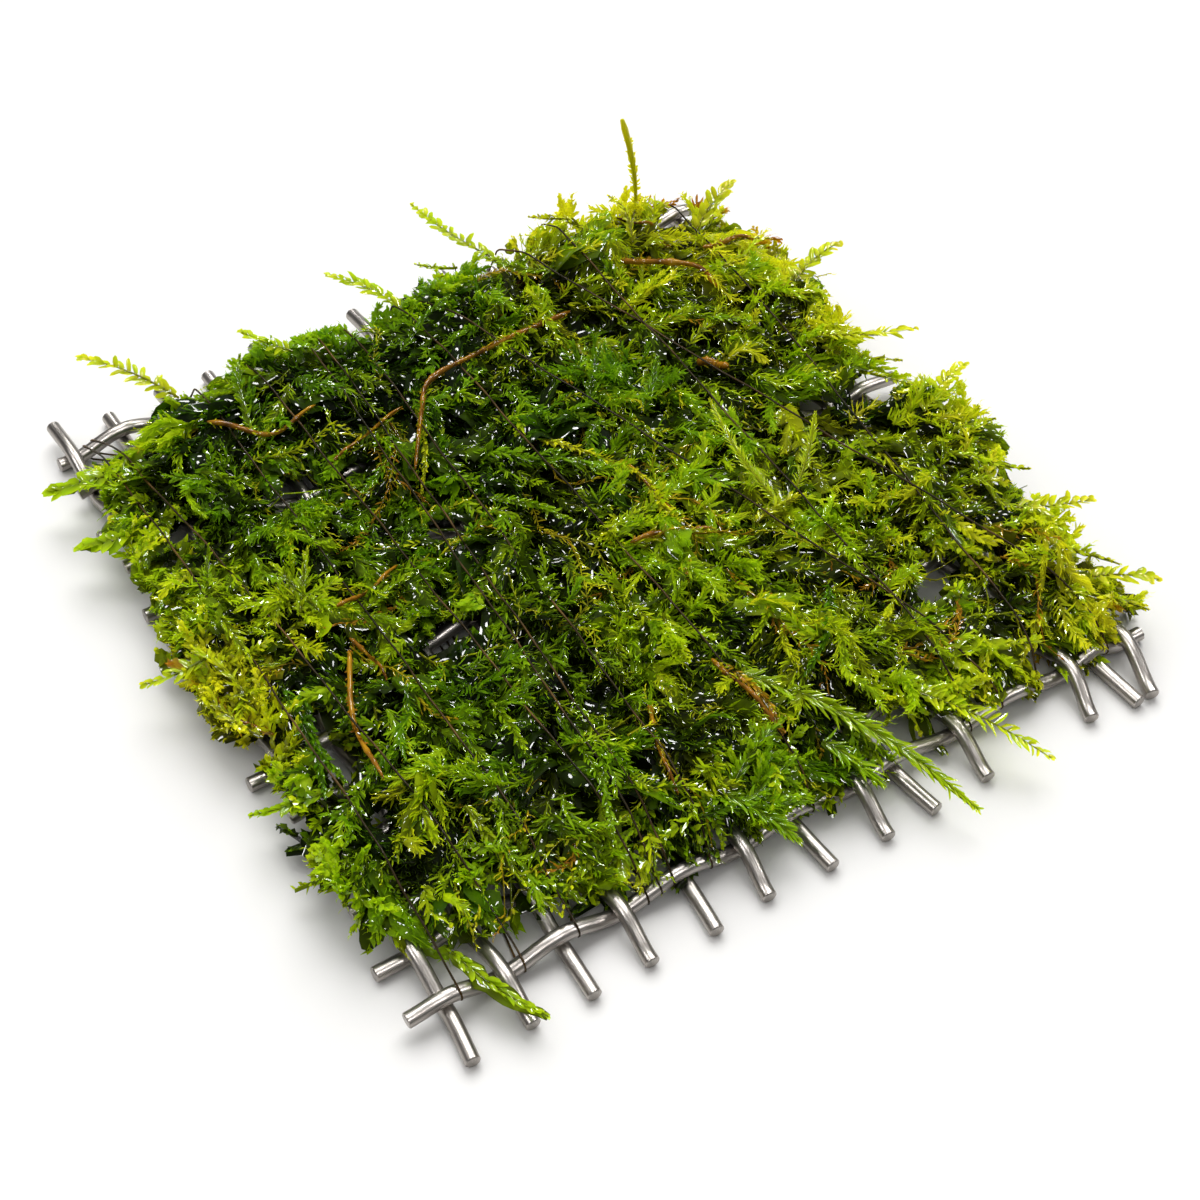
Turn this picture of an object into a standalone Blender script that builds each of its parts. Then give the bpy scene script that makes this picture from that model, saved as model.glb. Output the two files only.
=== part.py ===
"""A pad of java moss: a square of woven steel wire mesh with a mat of moss tied on top.

Units are metres and +Z is up. Everything is placed round the middle of the mesh, and one empty
carries it all, so that the origin lies under the middle of the whole pad. Column wires run along Y
and row wires along X. Column 1 and row 1 cross at the front left corner.
"""
import math

import bmesh
import bpy
from mathutils import Matrix, Vector
from mathutils.bvhtree import BVHTree

MM = 0.001

# The whole pad
COLLECTION_NAME = "java_moss_pad"
ORIGIN_SHIFT = Vector((0.416, -0.378, 0.004)) * MM

# Woven mesh: four wires to the inch
WIRE_COUNT = 14
PITCH = 6.35 * MM
WIRE_RADIUS = 0.8 * MM
WIRE_BEVEL_RESOLUTION = 1
WIRE_LOW = WIRE_RADIUS * math.cos(math.radians(30))
CRIMP_HEIGHT = 1.8 * MM
WIRE_HIGH = WIRE_LOW + CRIMP_HEIGHT
HALF_MESH = PITCH * (WIRE_COUNT - 1) / 2

# Places of the columns along row 1, in pitches: they have slipped a little at the front edge
FRONT_COLUMN_PLACES = (0, 0.93, 1.97, 2.97, 4.16, 5.16, 6.18, 7.38, 8.14, 9.41, 10.45, 11.8, 12.39, 13.0)
FRONT_END_LEAN = (-0.12, -0.01, -0.05, -0.03, -0.11, -0.09, 0.05, -0.09, 0.11, -0.07, 0, -0.25, 0.05, -0.26)
CUT_SHORT_COLUMN = 10
CUT_SHORT_START = 0.35

# How far each cut wire end stands out past the last wire it crosses, in pitches
FRONT_STUBS = (0.98, 0.93, 0.99, 0.98, 1.04, 0.97, 1.03, 1.05, 1.04, 0.99, 0, 0.96, 1.12, 1.11)
BACK_STUBS = (0.82, 0.73, 0.71, 0.84, 0.91, 0.75, 0.8, 0.7, 0.85, 0.75, 0.8, 0.7, 0.6, 0.3)
LEFT_STUBS = (0.64, 0.61, 0.45, 0.5, 0.4, 0.6, 0.45, 0.4, 0.5, 0.48, 0.35, 0.4, 0.3, 0.25)
RIGHT_STUBS = (0.56, 0.45, 0.4, 0.36, 0.4, 0.35, 0.45, 0.79, 0.4, 0.45, 0.35, 0.4, 0.45, 0.43)
FRONT_KNEE = 0.3
FRONT_KNEE_DROP = 0.25 * MM
SIDE_STUB_DROP = 0.5 * MM

# Moss mat
MAT_CELLS = 22
MAT_UNDERSIDE = 3.5 * MM
MAT_THICKNESS = 3.9 * MM
MAT_LEAST = 1.1 * MM
# How far the mat's outline lies outside the outer wires, in mm, at even steps along each side
MAT_LEFT = (2.8, 4.6, 3.2, 2.6, 2.2, 3.6, 4.6, 3.4, 2.2, 1.8, 1.6, 1.0, -1.4)
MAT_RIGHT = (1.2, 1.6, 2.0, 1.4, 3.2, 3.0, 0.4, -0.8, 2.2, 3.4, 2.4, 2.4, 1.4)
MAT_FRONT = (-9.5, -6.2, -5.4, -4.0, -2.2, -1.9, -1.9, -1.9, -2.1, -3.6, -2.2, -1.9, -1.9, -1.9)
MAT_BACK = (-5.6, -4.4, -3.4, -2.2, -1.9, -2.6, -3.2, -2.0, -1.9, -2.2, -1.9, -0.6, -1.4, -2.8, -5.4)
# Share of the full thickness left at the rim, and the width over which it rises: left, right, front, back
RIM_SHARES = (0.4, 0.72, 0.36, 0.82)
RIM_WIDTHS = (6.0, 4.0, 6.0, 4.0)
# Mounds and dips of the mat: x, y, radius and height in mm
MOUNDS = (
    (20, 37, 9, 4.6), (31, 34, 8, 1.6), (37, 16, 9, 2.4), (41, -11, 8, 2.4), (38, -32, 7, 1.2), (20, 1, 9, 2.2),
    (1, -8, 10, 1.6), (3, 29, 9, 2.2), (-18, 34, 8, 1.0), (-40, 6, 6, 1.4), (-32, 3, 5, 2.0),
    (-43, -27, 6, 1.2), (-30, -32, 6, 0.8), (-8, -36, 7, 1.6), (11, -29, 5, 1.4),
    (-18, 13, 7, -1.5), (-11, -22, 6, -1.0), (31, -25, 6, -1.6), (-38, -11, 5, -1.6), (-25, 22, 6, -1.2),
)
RIPPLE_HEIGHT = 0.35 * MM
RIPPLE_LENGTHS = (9.1 * MM, 7.7 * MM)
# Gaps that show the mesh through the moss: x, y and radius in mm
MAT_GAPS = (
    (-22.6, 21.9, 1.9), (-12.2, 9.4, 1.8), (-19.6, -5.2, 1.6), (-36.2, 21.0, 1.5),
    (-36.6, -10.6, 2.0), (34.6, 4.3, 2.1), (29.8, -25.8, 2.0),
)

# Clearance between pieces that lie on each other
TOUCH_GAP = 0.3 * MM

# Brown stems: name, radius and route points x, y in mm
BROWN_STEMS = (
    ("brown_stem_arch", 0.5, ((23.9, 28.8), (28.2, 26.9), (31.7, 23.6), (31.4, 19.8))),
    ("brown_stem_long", 0.45, ((14.4, 25), (3.2, 24.3), (-4.9, 23.4), (-7.8, 20.5), (-12.6, 13.7))),
    ("brown_stem_left", 0.45, ((-28.6, 31.2), (-23.4, 26.5), (-17.5, 27.2))),
    ("brown_stem_low", 0.4, ((-31.1, -5.5), (-34.9, -13.3), (-36, -21.2))),
)
STEM_STEP = 3.4 * MM
STEM_REACH = 1.2 * MM

# Tying thread: turns in the order of winding, each with its place on the front wire and on the back
# wire in pitches, and the place of the run that follows below it, in pitches from mid channel
THREAD_RADIUS = 0.13 * MM
WRAP_RADIUS = 1.15 * MM
WRAP_ANGLES = (15, 70, 125, 180)
THREAD_TURNS = (
    (0.2, 0.28, 0.0), (1.27, 0.45, 0.14), (2.2, 2.28, -0.14), (3.45, 3.3, 0.0), (3.67, 4.5, 0.14),
    (3.9, 4.75, -0.14), (4.61, 5.3, 0.0), (6.52, 6.3, -0.14), (9.68, 9.6, -0.14), (11.15, 12.3, 0.0),
    (12.6, 8.5, 0.14), (10.3, 6.5, 0.0),
)
UNDER_RUN_HEIGHT = 0.22 * MM
SAMPLE_STEP = 0.4 * MM
THREAD_LIFT = 0.4 * MM
THREAD_CROSSING_LIFT = 0.6 * MM
THREAD_TOLERANCE = 0.15 * MM

# Loose sprigs that lie on the mat and stand out at its edges: name, base x and y, tip x, y and z,
# half width in mm and the count of leaves drawn on each side
SPRIG_THICKNESS = 0.5 * MM
SPRIGS = (
    ("back_sprig_long", (13.0, 37.5), (8.8, 52.0, 9.5), 1.3, 6),
    ("back_sprig_short", (-1.1, 36.8), (-6.0, 46.0, 9.0), 1.3, 4),
    ("back_sprig_small", (-15.2, 37.0), (-18.6, 43.5, 8.0), 1.1, 3),
    ("left_corner_sprig", (-29.0, 38.0), (-36.2, 48.3, 8.5), 1.6, 6),
    ("left_sprig_back", (-40.6, 32.0), (-46.6, 34.8, 4.2), 1.2, 3),
    ("left_sprig_middle", (-42.0, 22.5), (-47.2, 25.4, 4.2), 1.2, 3),
    ("left_sprig_tip", (-43.2, 2.2), (-49.4, 4.8, 4.2), 1.2, 3),
    ("left_sprig_low", (-42.0, -18.4), (-47.4, -15.0, 3.9), 1.1, 3),
    ("front_sprig_bright", (-38.4, -37.6), (-34.6, -48.3, 3.2), 1.3, 5),
    ("front_sprig_green", (-9.0, -38.0), (-4.4, -45.2, 4.0), 1.5, 4),
    ("front_sprig_broad", (3.6, -38.0), (6.4, -44.2, 4.2), 1.6, 3),
    ("front_fern_long", (2.4, -32.0), (13.0, -51.2, 3.4), 1.5, 8),
    ("front_fern_right", (16.2, -38.0), (23.4, -50.4, 3.4), 1.6, 6),
    ("right_sprig_front", (42.6, -37.0), (46.2, -40.2, 7.2), 1.2, 3),
    ("right_sprig_low", (42.6, -25.6), (47.2, -28.4, 8.4), 1.2, 3),
    ("right_sprig_middle", (41.0, -8.8), (47.4, -6.0, 10.4), 1.3, 4),
    ("right_sprig_curl", (42.0, 6.2), (47.2, 2.4, 9.6), 1.2, 3),
    ("right_sprig_back", (43.0, 16.6), (48.6, 18.6, 10.4), 1.3, 3),
    ("corner_sprig", (38.2, 32.0), (43.2, 33.4, 11.6), 1.3, 3),
    ("top_sprig_left", (17.4, -10.0), (17.6, 2.0, 13.0), 1.2, 5),
    ("top_sprig_right", (22.0, -8.6), (26.2, -5.6, 13.0), 1.2, 3),
)
UPRIGHT_SPRIG_BASE = (31.6, 37.0)
UPRIGHT_SPRIG_TIP = Vector((27.0, 34.3, 26.0)) * MM
UPRIGHT_SPRIG_HALF_WIDTH = 0.9
UPRIGHT_SPRIG_LEAVES = 7


def clear_scene():
    """Remove whatever the scene holds."""
    for old in list(bpy.data.objects):
        bpy.data.objects.remove(old, do_unlink=True)


def principled(name, colour, roughness, metallic=0.0):
    """A material with one Principled BSDF."""
    material = bpy.data.materials.new(name)
    material.use_nodes = True
    shader = material.node_tree.nodes["Principled BSDF"]
    shader.inputs["Base Color"].default_value = (*colour, 1.0)
    shader.inputs["Roughness"].default_value = roughness
    shader.inputs["Metallic"].default_value = metallic
    return material


def add_object(name, data, pad):
    """Put data in the scene as an object carried by the pad's empty."""
    piece = bpy.data.objects.new(name, data)
    piece.parent = pad
    bpy.data.collections[COLLECTION_NAME].objects.link(piece)
    return piece


def add_tube(name, points, radius, resolution, material, pad):
    """A round rod along straight stretches between the points, with closed ends."""
    curve = bpy.data.curves.new(name, "CURVE")
    curve.dimensions = "3D"
    curve.bevel_depth = radius
    curve.bevel_resolution = resolution
    curve.use_fill_caps = True
    spline = curve.splines.new("POLY")
    spline.points.add(len(points) - 1)
    for place, point in zip(spline.points, points):
        place.co = (*point, 1.0)
    curve.materials.append(material)
    return add_object(name, curve, pad)


def column_x(column, row):
    """X of a column wire where it crosses a row: the slip at the front edge fades to the back."""
    slip = FRONT_COLUMN_PLACES[column] - column
    return (column + slip * (1 - row / (WIRE_COUNT - 1))) * PITCH - HALF_MESH


def row_y(row):
    """Y of a row wire, or of a place between two rows."""
    return row * PITCH - HALF_MESH


def row_is_over(column, row):
    """The weave: a row passes over the column where their numbers add up to an even one."""
    return (column + row) % 2 == 0


def column_points(column):
    """The bends of a column wire, from its front end to its back end."""
    last = WIRE_COUNT - 1
    points = []
    for row in range(WIRE_COUNT):
        height = WIRE_LOW if row_is_over(column, row) else WIRE_HIGH
        points.append(Vector((column_x(column, row), row_y(row), height)))
    back_end = points[-1] + Vector((0, BACK_STUBS[column] * PITCH, 0))
    if not row_is_over(column, last):
        back_end.z -= SIDE_STUB_DROP
    points.append(back_end)
    if column == CUT_SHORT_COLUMN:
        points[0] = points[0].lerp(points[1], CUT_SHORT_START)
        return points
    front = points[0]
    end = front + Vector((FRONT_END_LEAN[column] * PITCH, -FRONT_STUBS[column] * PITCH, 0))
    end.z = WIRE_LOW
    if row_is_over(column, 0):
        return [end] + points
    knee = front.lerp(end, FRONT_KNEE)
    knee.z = WIRE_HIGH - FRONT_KNEE_DROP
    return [end, knee] + points


def row_points(row):
    """The bends of a row wire, from its left end to its right end."""
    last = WIRE_COUNT - 1
    points = []
    for column in range(WIRE_COUNT):
        height = WIRE_HIGH if row_is_over(column, row) else WIRE_LOW
        points.append(Vector((column_x(column, row), row_y(row), height)))
    left_end = points[0] - Vector((LEFT_STUBS[row] * PITCH, 0, 0))
    right_end = points[-1] + Vector((RIGHT_STUBS[row] * PITCH, 0, 0))
    if row_is_over(0, row):
        left_end.z -= SIDE_STUB_DROP
    if row_is_over(last, row):
        right_end.z -= SIDE_STUB_DROP
    return [left_end] + points + [right_end]


def row_height(row, x):
    """Height of a row wire's axis above a place x."""
    points = row_points(row)
    for low, high in zip(points, points[1:]):
        if low.x <= x <= high.x:
            return low.lerp(high, (x - low.x) / (high.x - low.x)).z
    raise ValueError("the place is outside the mesh")


def add_mesh_wires(material, pad):
    """Fourteen wires each way, every one a piece of its own."""
    wires = []
    for kind, points in (("column_wire_", column_points), ("row_wire_", row_points)):
        for index in range(WIRE_COUNT):
            name = kind + "%02d" % (index + 1)
            wires.append(add_tube(name, points(index), WIRE_RADIUS, WIRE_BEVEL_RESOLUTION, material, pad))
    return wires


def smooth_step(value):
    """A ramp from 0 to 1 with level ends."""
    value = min(max(value, 0.0), 1.0)
    return value * value * (3 - 2 * value)


def profile(stations, share):
    """Value of a smooth line through evenly spaced stations, at a share from 0 to 1 of its length."""
    place = share * (len(stations) - 1)
    index = min(int(place), len(stations) - 2)
    blend = smooth_step(place - index)
    return stations[index] * (1 - blend) + stations[index + 1] * blend


def mat_point(across, along):
    """Place of the mat's top for shares across (left to right) and along (front to back)."""
    left = -HALF_MESH - profile(MAT_LEFT, along) * MM
    right = HALF_MESH + profile(MAT_RIGHT, along) * MM
    front = -HALF_MESH - profile(MAT_FRONT, across) * MM
    back = HALF_MESH + profile(MAT_BACK, across) * MM
    x = left + (right - left) * across
    y = front + (back - front) * along
    thickness = MAT_THICKNESS
    for mound_x, mound_y, radius, height in MOUNDS:
        distance = math.hypot(x - mound_x * MM, y - mound_y * MM) / (radius * MM)
        thickness += height * MM * math.exp(-distance * distance)
    wave_x = math.sin(2 * math.pi * x / RIPPLE_LENGTHS[0] + 3 * y / RIPPLE_LENGTHS[1])
    wave_y = math.sin(2 * math.pi * y / RIPPLE_LENGTHS[1] - 2 * x / RIPPLE_LENGTHS[0])
    thickness += RIPPLE_HEIGHT * wave_x * wave_y
    for share, width, distance in zip(RIM_SHARES, RIM_WIDTHS, (x - left, right - x, y - front, back - y)):
        thickness *= share + (1 - share) * smooth_step(distance / (width * MM))
    return Vector((x, y, MAT_UNDERSIDE + max(thickness, MAT_LEAST)))


def open_gap(surface, x, y, radius):
    """Take out the vertex nearest to a place and draw the ring round it to a circle."""
    centre = Vector((x, y))
    middle = min(surface.verts, key=lambda vertex: (vertex.co.xy - centre).length)
    ring = {vertex for face in middle.link_faces for vertex in face.verts} - {middle}
    for vertex in ring:
        outward = (vertex.co.xy - middle.co.xy).normalized() * radius
        vertex.co.xy = centre + outward
    bmesh.ops.delete(surface, geom=[middle], context="VERTS")


def add_moss_mat(material, pad):
    """The mat: an uneven top over a flat underside that lies on the mesh."""
    surface = bmesh.new()
    bmesh.ops.create_grid(surface, x_segments=MAT_CELLS, y_segments=MAT_CELLS, size=0.5)
    for vertex in surface.verts:
        vertex.co = mat_point(vertex.co.x + 0.5, vertex.co.y + 0.5)
    for x, y, radius in MAT_GAPS:
        open_gap(surface, x * MM, y * MM, radius * MM)
    rim = [edge for edge in surface.edges if edge.is_boundary]
    walls = bmesh.ops.extrude_edge_only(surface, edges=rim)["geom"]
    for vertex in (item for item in walls if isinstance(item, bmesh.types.BMVert)):
        vertex.co.z = MAT_UNDERSIDE
    lower_rim = [edge for edge in surface.edges if edge.is_boundary]
    bmesh.ops.triangle_fill(surface, edges=lower_rim, use_beauty=True)
    bmesh.ops.recalc_face_normals(surface, faces=surface.faces)
    data = bpy.data.meshes.new("moss_mat")
    surface.to_mesh(data)
    surface.free()
    data.materials.append(material)
    data.shade_smooth()
    data.set_sharp_from_angle(angle=math.radians(50))
    return add_object("moss_mat", data, pad)


class Surface:
    """Height of the pieces laid so far, found by looking straight down on them."""

    SKY = 0.1

    def __init__(self, pieces):
        bpy.context.view_layer.update()
        graph = bpy.context.evaluated_depsgraph_get()
        self.trees = []
        for piece in pieces:
            shape = bmesh.new()
            mesh = piece.evaluated_get(graph).to_mesh()
            shape.from_mesh(mesh)
            self.trees.append(BVHTree.FromBMesh(shape))
            piece.evaluated_get(graph).to_mesh_clear()
            shape.free()

    def height(self, x, y):
        """Highest point at a place, or None beside the pieces."""
        above = Vector((x, y, self.SKY))
        hits = [tree.ray_cast(above, Vector((0, 0, -1)))[0] for tree in self.trees]
        heights = [hit.z for hit in hits if hit is not None]
        return max(heights, default=None)

    def height_near(self, x, y, reach):
        """Highest point within reach of a place, or None where there is none."""
        places = ((0, 0), (reach, 0), (-reach, 0), (0, reach), (0, -reach))
        heights = [self.height(x + step_x, y + step_y) for step_x, step_y in places]
        return max((height for height in heights if height is not None), default=None)


def curve_through(route, step):
    """Points about a step apart on a smooth Catmull-Rom curve through a route's points."""
    route = [Vector(point) * MM for point in route]
    ends = [route[0] * 2 - route[1]] + route + [route[-1] * 2 - route[-2]]
    points = [route[0]]
    for before, start, end, after in zip(ends, ends[1:], ends[2:], ends[3:]):
        count = max(1, round((end - start).length / step))
        for index in range(1, count + 1):
            t = index / count
            bend = start * 2 + (end - before) * t
            bend += (before * 2 - start * 5 + end * 4 - after) * t ** 2
            bend += (start * 3 - before - end * 3 + after) * t ** 3
            points.append(bend / 2)
    return points


def add_brown_stems(mat, material, pad):
    """Old stems that lie along the top of the mat."""
    surface = Surface([mat])
    stems = []
    for name, radius, route in BROWN_STEMS:
        points = []
        for place in curve_through(route, STEM_STEP):
            height = surface.height_near(place.x, place.y, STEM_REACH)
            points.append(Vector((place.x, place.y, height + radius * MM + TOUCH_GAP)))
        stems.append(add_tube(name, points, radius * MM, 1, material, pad))
    return stems


def upper_hull(samples):
    """The samples that a string pulled tight over all of them touches."""
    hull = []
    for place, height in samples:
        while len(hull) > 1:
            (first_place, first), (last_place, last) = hull[-2:]
            if (last - first) * (place - first_place) > (height - first) * (last_place - first_place):
                break
            hull.pop()
        hull.append((place, height))
    return hull


def thin_out(line, tolerance):
    """Drop the points of a line that lie nearer to it than the tolerance."""
    if len(line) < 3:
        return line
    (start_place, start), (end_place, end) = line[0], line[-1]
    rises = [height - start - (end - start) * (place - start_place) / (end_place - start_place)
             for place, height in line]
    farthest = max(range(len(line)), key=lambda index: rises[index])
    if rises[farthest] < tolerance:
        return [line[0], line[-1]]
    return thin_out(line[:farthest + 1], tolerance) + thin_out(line[farthest:], tolerance)[1:]


def crossing_height(run, start, end):
    """Share along start to end, and height, at which a run laid earlier is crossed, or None."""
    for low, high in zip(run, run[1:]):
        across = end.xy - start.xy
        along = high.xy - low.xy
        turn = across.x * along.y - across.y * along.x
        offset = low.xy - start.xy
        share = (offset.x * along.y - offset.y * along.x) / turn
        other = (offset.x * across.y - offset.y * across.x) / turn
        if 0 < share < 1 and 0 <= other <= 1:
            return share, low.lerp(high, other).z
    return None


def taut_run(start, end, surface, runs):
    """Points of a thread pulled tight from start to end over the moss and the runs below it."""
    length = (end - start).length
    count = int(length / SAMPLE_STEP)
    samples = [(0.0, start.z), (1.0, end.z)]
    for index in range(1, count):
        place = start.lerp(end, index / count)
        height = surface.height_near(place.x, place.y, SAMPLE_STEP)
        if height is not None:
            samples.append((index / count, height + THREAD_LIFT))
    for run in runs:
        crossing = crossing_height(run, start, end)
        if crossing is not None:
            samples.append((crossing[0], crossing[1] + THREAD_CROSSING_LIFT))
    line = thin_out(upper_hull(sorted(samples)), THREAD_TOLERANCE)
    return [Vector((*start.xy.lerp(end.xy, share), height)) for share, height in line]


def wrap_points(place, row, outward):
    """Points of the thread round an end wire, from its top round its outer side to below it."""
    x = place * PITCH - HALF_MESH
    height = row_height(row, x)
    points = []
    for degrees in WRAP_ANGLES:
        angle = math.radians(degrees)
        y = row_y(row) + outward * WRAP_RADIUS * math.sin(angle)
        z = max(height + WRAP_RADIUS * math.cos(angle), UNDER_RUN_HEIGHT)
        points.append(Vector((x, y, z)))
    return points


def channel_at(x, row):
    """Number of the channel between two columns in which x lies at a row."""
    return sum(column_x(column, row) < x for column in range(WIRE_COUNT)) - 1


def channel_point(channel, row, offset):
    """A place below the mesh, offset from the middle of a channel."""
    middle = (column_x(channel, row) + column_x(channel + 1, row)) / 2
    return Vector((middle + offset * PITCH, row_y(row), UNDER_RUN_HEIGHT))


def under_run(back, front, offset):
    """Points below the mesh from a back wrap to the next front wrap, one channel to a row at most."""
    row = WIRE_COUNT - 2
    channel = channel_at(back * PITCH - HALF_MESH, WIRE_COUNT - 1)
    last_channel = channel_at(front * PITCH - HALF_MESH, 0)
    side = (last_channel > channel) - (last_channel < channel)
    channel += side
    points = [channel_point(channel, row, offset)]
    if channel != last_channel:
        row -= abs(last_channel - channel)
        points.append(channel_point(last_channel, row, offset))
    points.append(channel_point(last_channel, 1, offset))
    return points


def add_tying_thread(laid, material, pad):
    """One thread, wound over the moss and round the first and the last row wire."""
    surface = Surface(laid)
    runs = []
    points = []
    for index, (front, back, offset) in enumerate(THREAD_TURNS):
        front_wrap = wrap_points(front, 0, -1)
        back_wrap = wrap_points(back, WIRE_COUNT - 1, 1)
        run = taut_run(front_wrap[0], back_wrap[0], surface, runs)
        runs.append(run)
        points += front_wrap[:0:-1] + run + back_wrap[1:]
        if index + 1 < len(THREAD_TURNS):
            points += under_run(back, THREAD_TURNS[index + 1][0], offset)
    return add_tube("tying_thread", points, THREAD_RADIUS, 0, material, pad)


def sprig_outline(length, half_width, leaves):
    """Outline of a sprig along X: leaf tips and the notches between them, up one side, down the other."""
    side = []
    for leaf in range(leaves):
        share = (leaf + 1) / (leaves + 1)
        reach = half_width * (1 - 0.45 * share * share)
        side.append((length * (share - 0.7 / (leaves + 1)), half_width * 0.3))
        side.append((length * share, reach))
    other_side = [(x, -y) for x, y in reversed(side)]
    return side + [(length, 0)] + other_side


def add_sprig(name, base, tip, half_width, leaves, material, pad):
    """A flat sprig from base to tip, cut from its outline."""
    curve = bpy.data.curves.new(name, "CURVE")
    curve.dimensions = "2D"
    curve.fill_mode = "BOTH"
    curve.extrude = SPRIG_THICKNESS / 2
    outline = sprig_outline((tip - base).length, half_width * MM, leaves)
    spline = curve.splines.new("POLY")
    spline.points.add(len(outline) - 1)
    spline.use_cyclic_u = True
    for place, (x, y) in zip(spline.points, outline):
        place.co = (x, y, 0, 1.0)
    curve.materials.append(material)
    sprig = add_object(name, curve, pad)
    forward = (tip - base).normalized()
    sideways = Vector((0, 0, 1)).cross(forward).normalized()
    sprig.location = base
    sprig.rotation_euler = Matrix((forward, sideways, forward.cross(sideways))).transposed().to_euler()
    return sprig


def resting_base(surface, base, tip, half_width):
    """Base of a sprig, raised until all of the sprig clears the pieces below it."""
    across = Vector((base.y - tip.y, tip.x - base.x)).normalized() * half_width
    need = SPRIG_THICKNESS / 2 + TOUCH_GAP
    height = 0.0
    steps = 24
    for index in range(steps):
        share = index / steps
        middle = base.lerp(tip.xy, share)
        for side in (-1, -0.5, 0, 0.5, 1):
            place = middle + across * side
            below = surface.height(place.x, place.y)
            if below is not None:
                height = max(height, (below + need - tip.z * share) / (1 - share))
    return Vector((*base, height))


def add_sprigs(laid, material, pad):
    """The single sprigs, each resting on what was laid before it."""
    surface = Surface(laid)
    for name, base, tip, half_width, leaves in SPRIGS:
        base = Vector(base) * MM
        tip = Vector(tip) * MM
        start = resting_base(surface, base, tip, half_width * MM)
        add_sprig(name, start, tip, half_width, leaves, material, pad)
    base = Vector(UPRIGHT_SPRIG_BASE) * MM
    foot = Vector((*base, surface.height_near(base.x, base.y, STEM_REACH) + 2 * TOUCH_GAP))
    add_sprig("upright_sprig", foot, UPRIGHT_SPRIG_TIP, UPRIGHT_SPRIG_HALF_WIDTH, UPRIGHT_SPRIG_LEAVES,
              material, pad)


def build():
    """Make the pad from the mesh up."""
    clear_scene()
    collection = bpy.data.collections.new(COLLECTION_NAME)
    bpy.context.scene.collection.children.link(collection)
    pad = bpy.data.objects.new("pad_origin", None)
    pad.location = ORIGIN_SHIFT
    collection.objects.link(pad)
    steel = principled("steel_wire", (0.56, 0.55, 0.53), 0.28, 1.0)
    moss = principled("moss_green", (0.10, 0.22, 0.02), 0.35)
    sprig_green = principled("sprig_green", (0.28, 0.42, 0.03), 0.35)
    brown = principled("stem_brown", (0.30, 0.13, 0.03), 0.4)
    thread = principled("thread_dark", (0.07, 0.055, 0.03), 0.45)
    wires = add_mesh_wires(steel, pad)
    mat = add_moss_mat(moss, pad)
    stems = add_brown_stems(mat, brown, pad)
    tying_thread = add_tying_thread([mat] + stems, thread, pad)
    add_sprigs([mat, tying_thread] + stems + wires, sprig_green, pad)


build()
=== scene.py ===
"""Java moss pad: leafy moss, woven steel wires, tying thread and brown stems, in a pale studio.

Shapes are worked out in millimetres from the middle of the wire mesh, with +Z up, and become metres in
the row frame when a mesh is made. Column wires run along Y, row wires along X, and column 1 and row 1
cross at the front left corner.
"""
import math

import bpy
import numpy as np
from mathutils.bvhtree import BVHTree
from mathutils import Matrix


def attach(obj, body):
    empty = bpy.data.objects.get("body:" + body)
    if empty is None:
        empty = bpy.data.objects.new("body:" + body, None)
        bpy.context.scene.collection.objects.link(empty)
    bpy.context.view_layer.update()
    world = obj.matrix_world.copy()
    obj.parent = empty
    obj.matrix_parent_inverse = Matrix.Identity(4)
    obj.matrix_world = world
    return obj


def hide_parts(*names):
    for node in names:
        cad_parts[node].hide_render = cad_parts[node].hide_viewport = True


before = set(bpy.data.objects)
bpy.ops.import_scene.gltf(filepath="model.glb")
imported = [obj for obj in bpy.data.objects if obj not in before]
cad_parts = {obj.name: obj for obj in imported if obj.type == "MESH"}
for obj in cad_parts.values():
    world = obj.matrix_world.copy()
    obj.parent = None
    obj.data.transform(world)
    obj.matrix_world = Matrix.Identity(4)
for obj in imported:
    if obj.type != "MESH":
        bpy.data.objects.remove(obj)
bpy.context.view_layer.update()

bl_info = {
    "name": "Java moss pad",
    "version": (1, 0, 0),
    "blender": (4, 5, 0),
    "location": "3D View > Sidebar > Moss Pad",
    "description": "Builds a pad of java moss tied onto woven steel wire mesh",
    "category": "Object",
}

MM = 0.001
TURN = 2 * math.pi
UP = (0.0, 0.0, 1.0)
# Place of the mesh's middle in the row frame, in millimetres
MESH_MIDDLE = np.array((0.416, -0.378, 0.004))
BODY = "root"

# Woven mesh. Places, leans and stubs are in pitches, and a stub is what stands out past the last crossing.
WIRE_COUNT = 14
LAST_WIRE = WIRE_COUNT - 1
PITCH = 6.35
HALF_MESH = PITCH * LAST_WIRE / 2
FRONT_COLUMN_PLACES = (0, 0.93, 1.97, 2.97, 4.16, 5.16, 6.18, 7.38, 8.14, 9.41, 10.45, 11.8, 12.39, 13.0)
FRONT_END_LEAN = (-0.12, -0.01, -0.05, -0.03, -0.11, -0.09, 0.05, -0.09, 0.11, -0.07, 0, -0.25, 0.05, -0.26)
FRONT_STUBS = (0.98, 0.93, 0.99, 0.98, 1.04, 0.97, 1.03, 1.05, 1.04, 0.99, -0.35, 0.96, 1.12, 1.11)
BACK_STUBS = (0.82, 0.73, 0.71, 0.84, 0.91, 0.75, 0.8, 0.7, 0.85, 0.75, 0.8, 0.7, 0.6, 0.3)
LEFT_STUBS = (0.64, 0.61, 0.45, 0.5, 0.4, 0.6, 0.45, 0.4, 0.5, 0.48, 0.35, 0.4, 0.3, 0.25)
RIGHT_STUBS = (0.56, 0.45, 0.4, 0.36, 0.4, 0.35, 0.45, 0.79, 0.4, 0.45, 0.35, 0.4, 0.45, 0.43)
LEAST_STUB = 0.1
SIDE_STUB_DROP = 0.5
HIGH_BEND = 0.1
CROSSING_GAP = 0.06
RINGS_TO_A_PITCH = 8
WIRE_SIDES = 12
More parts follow.
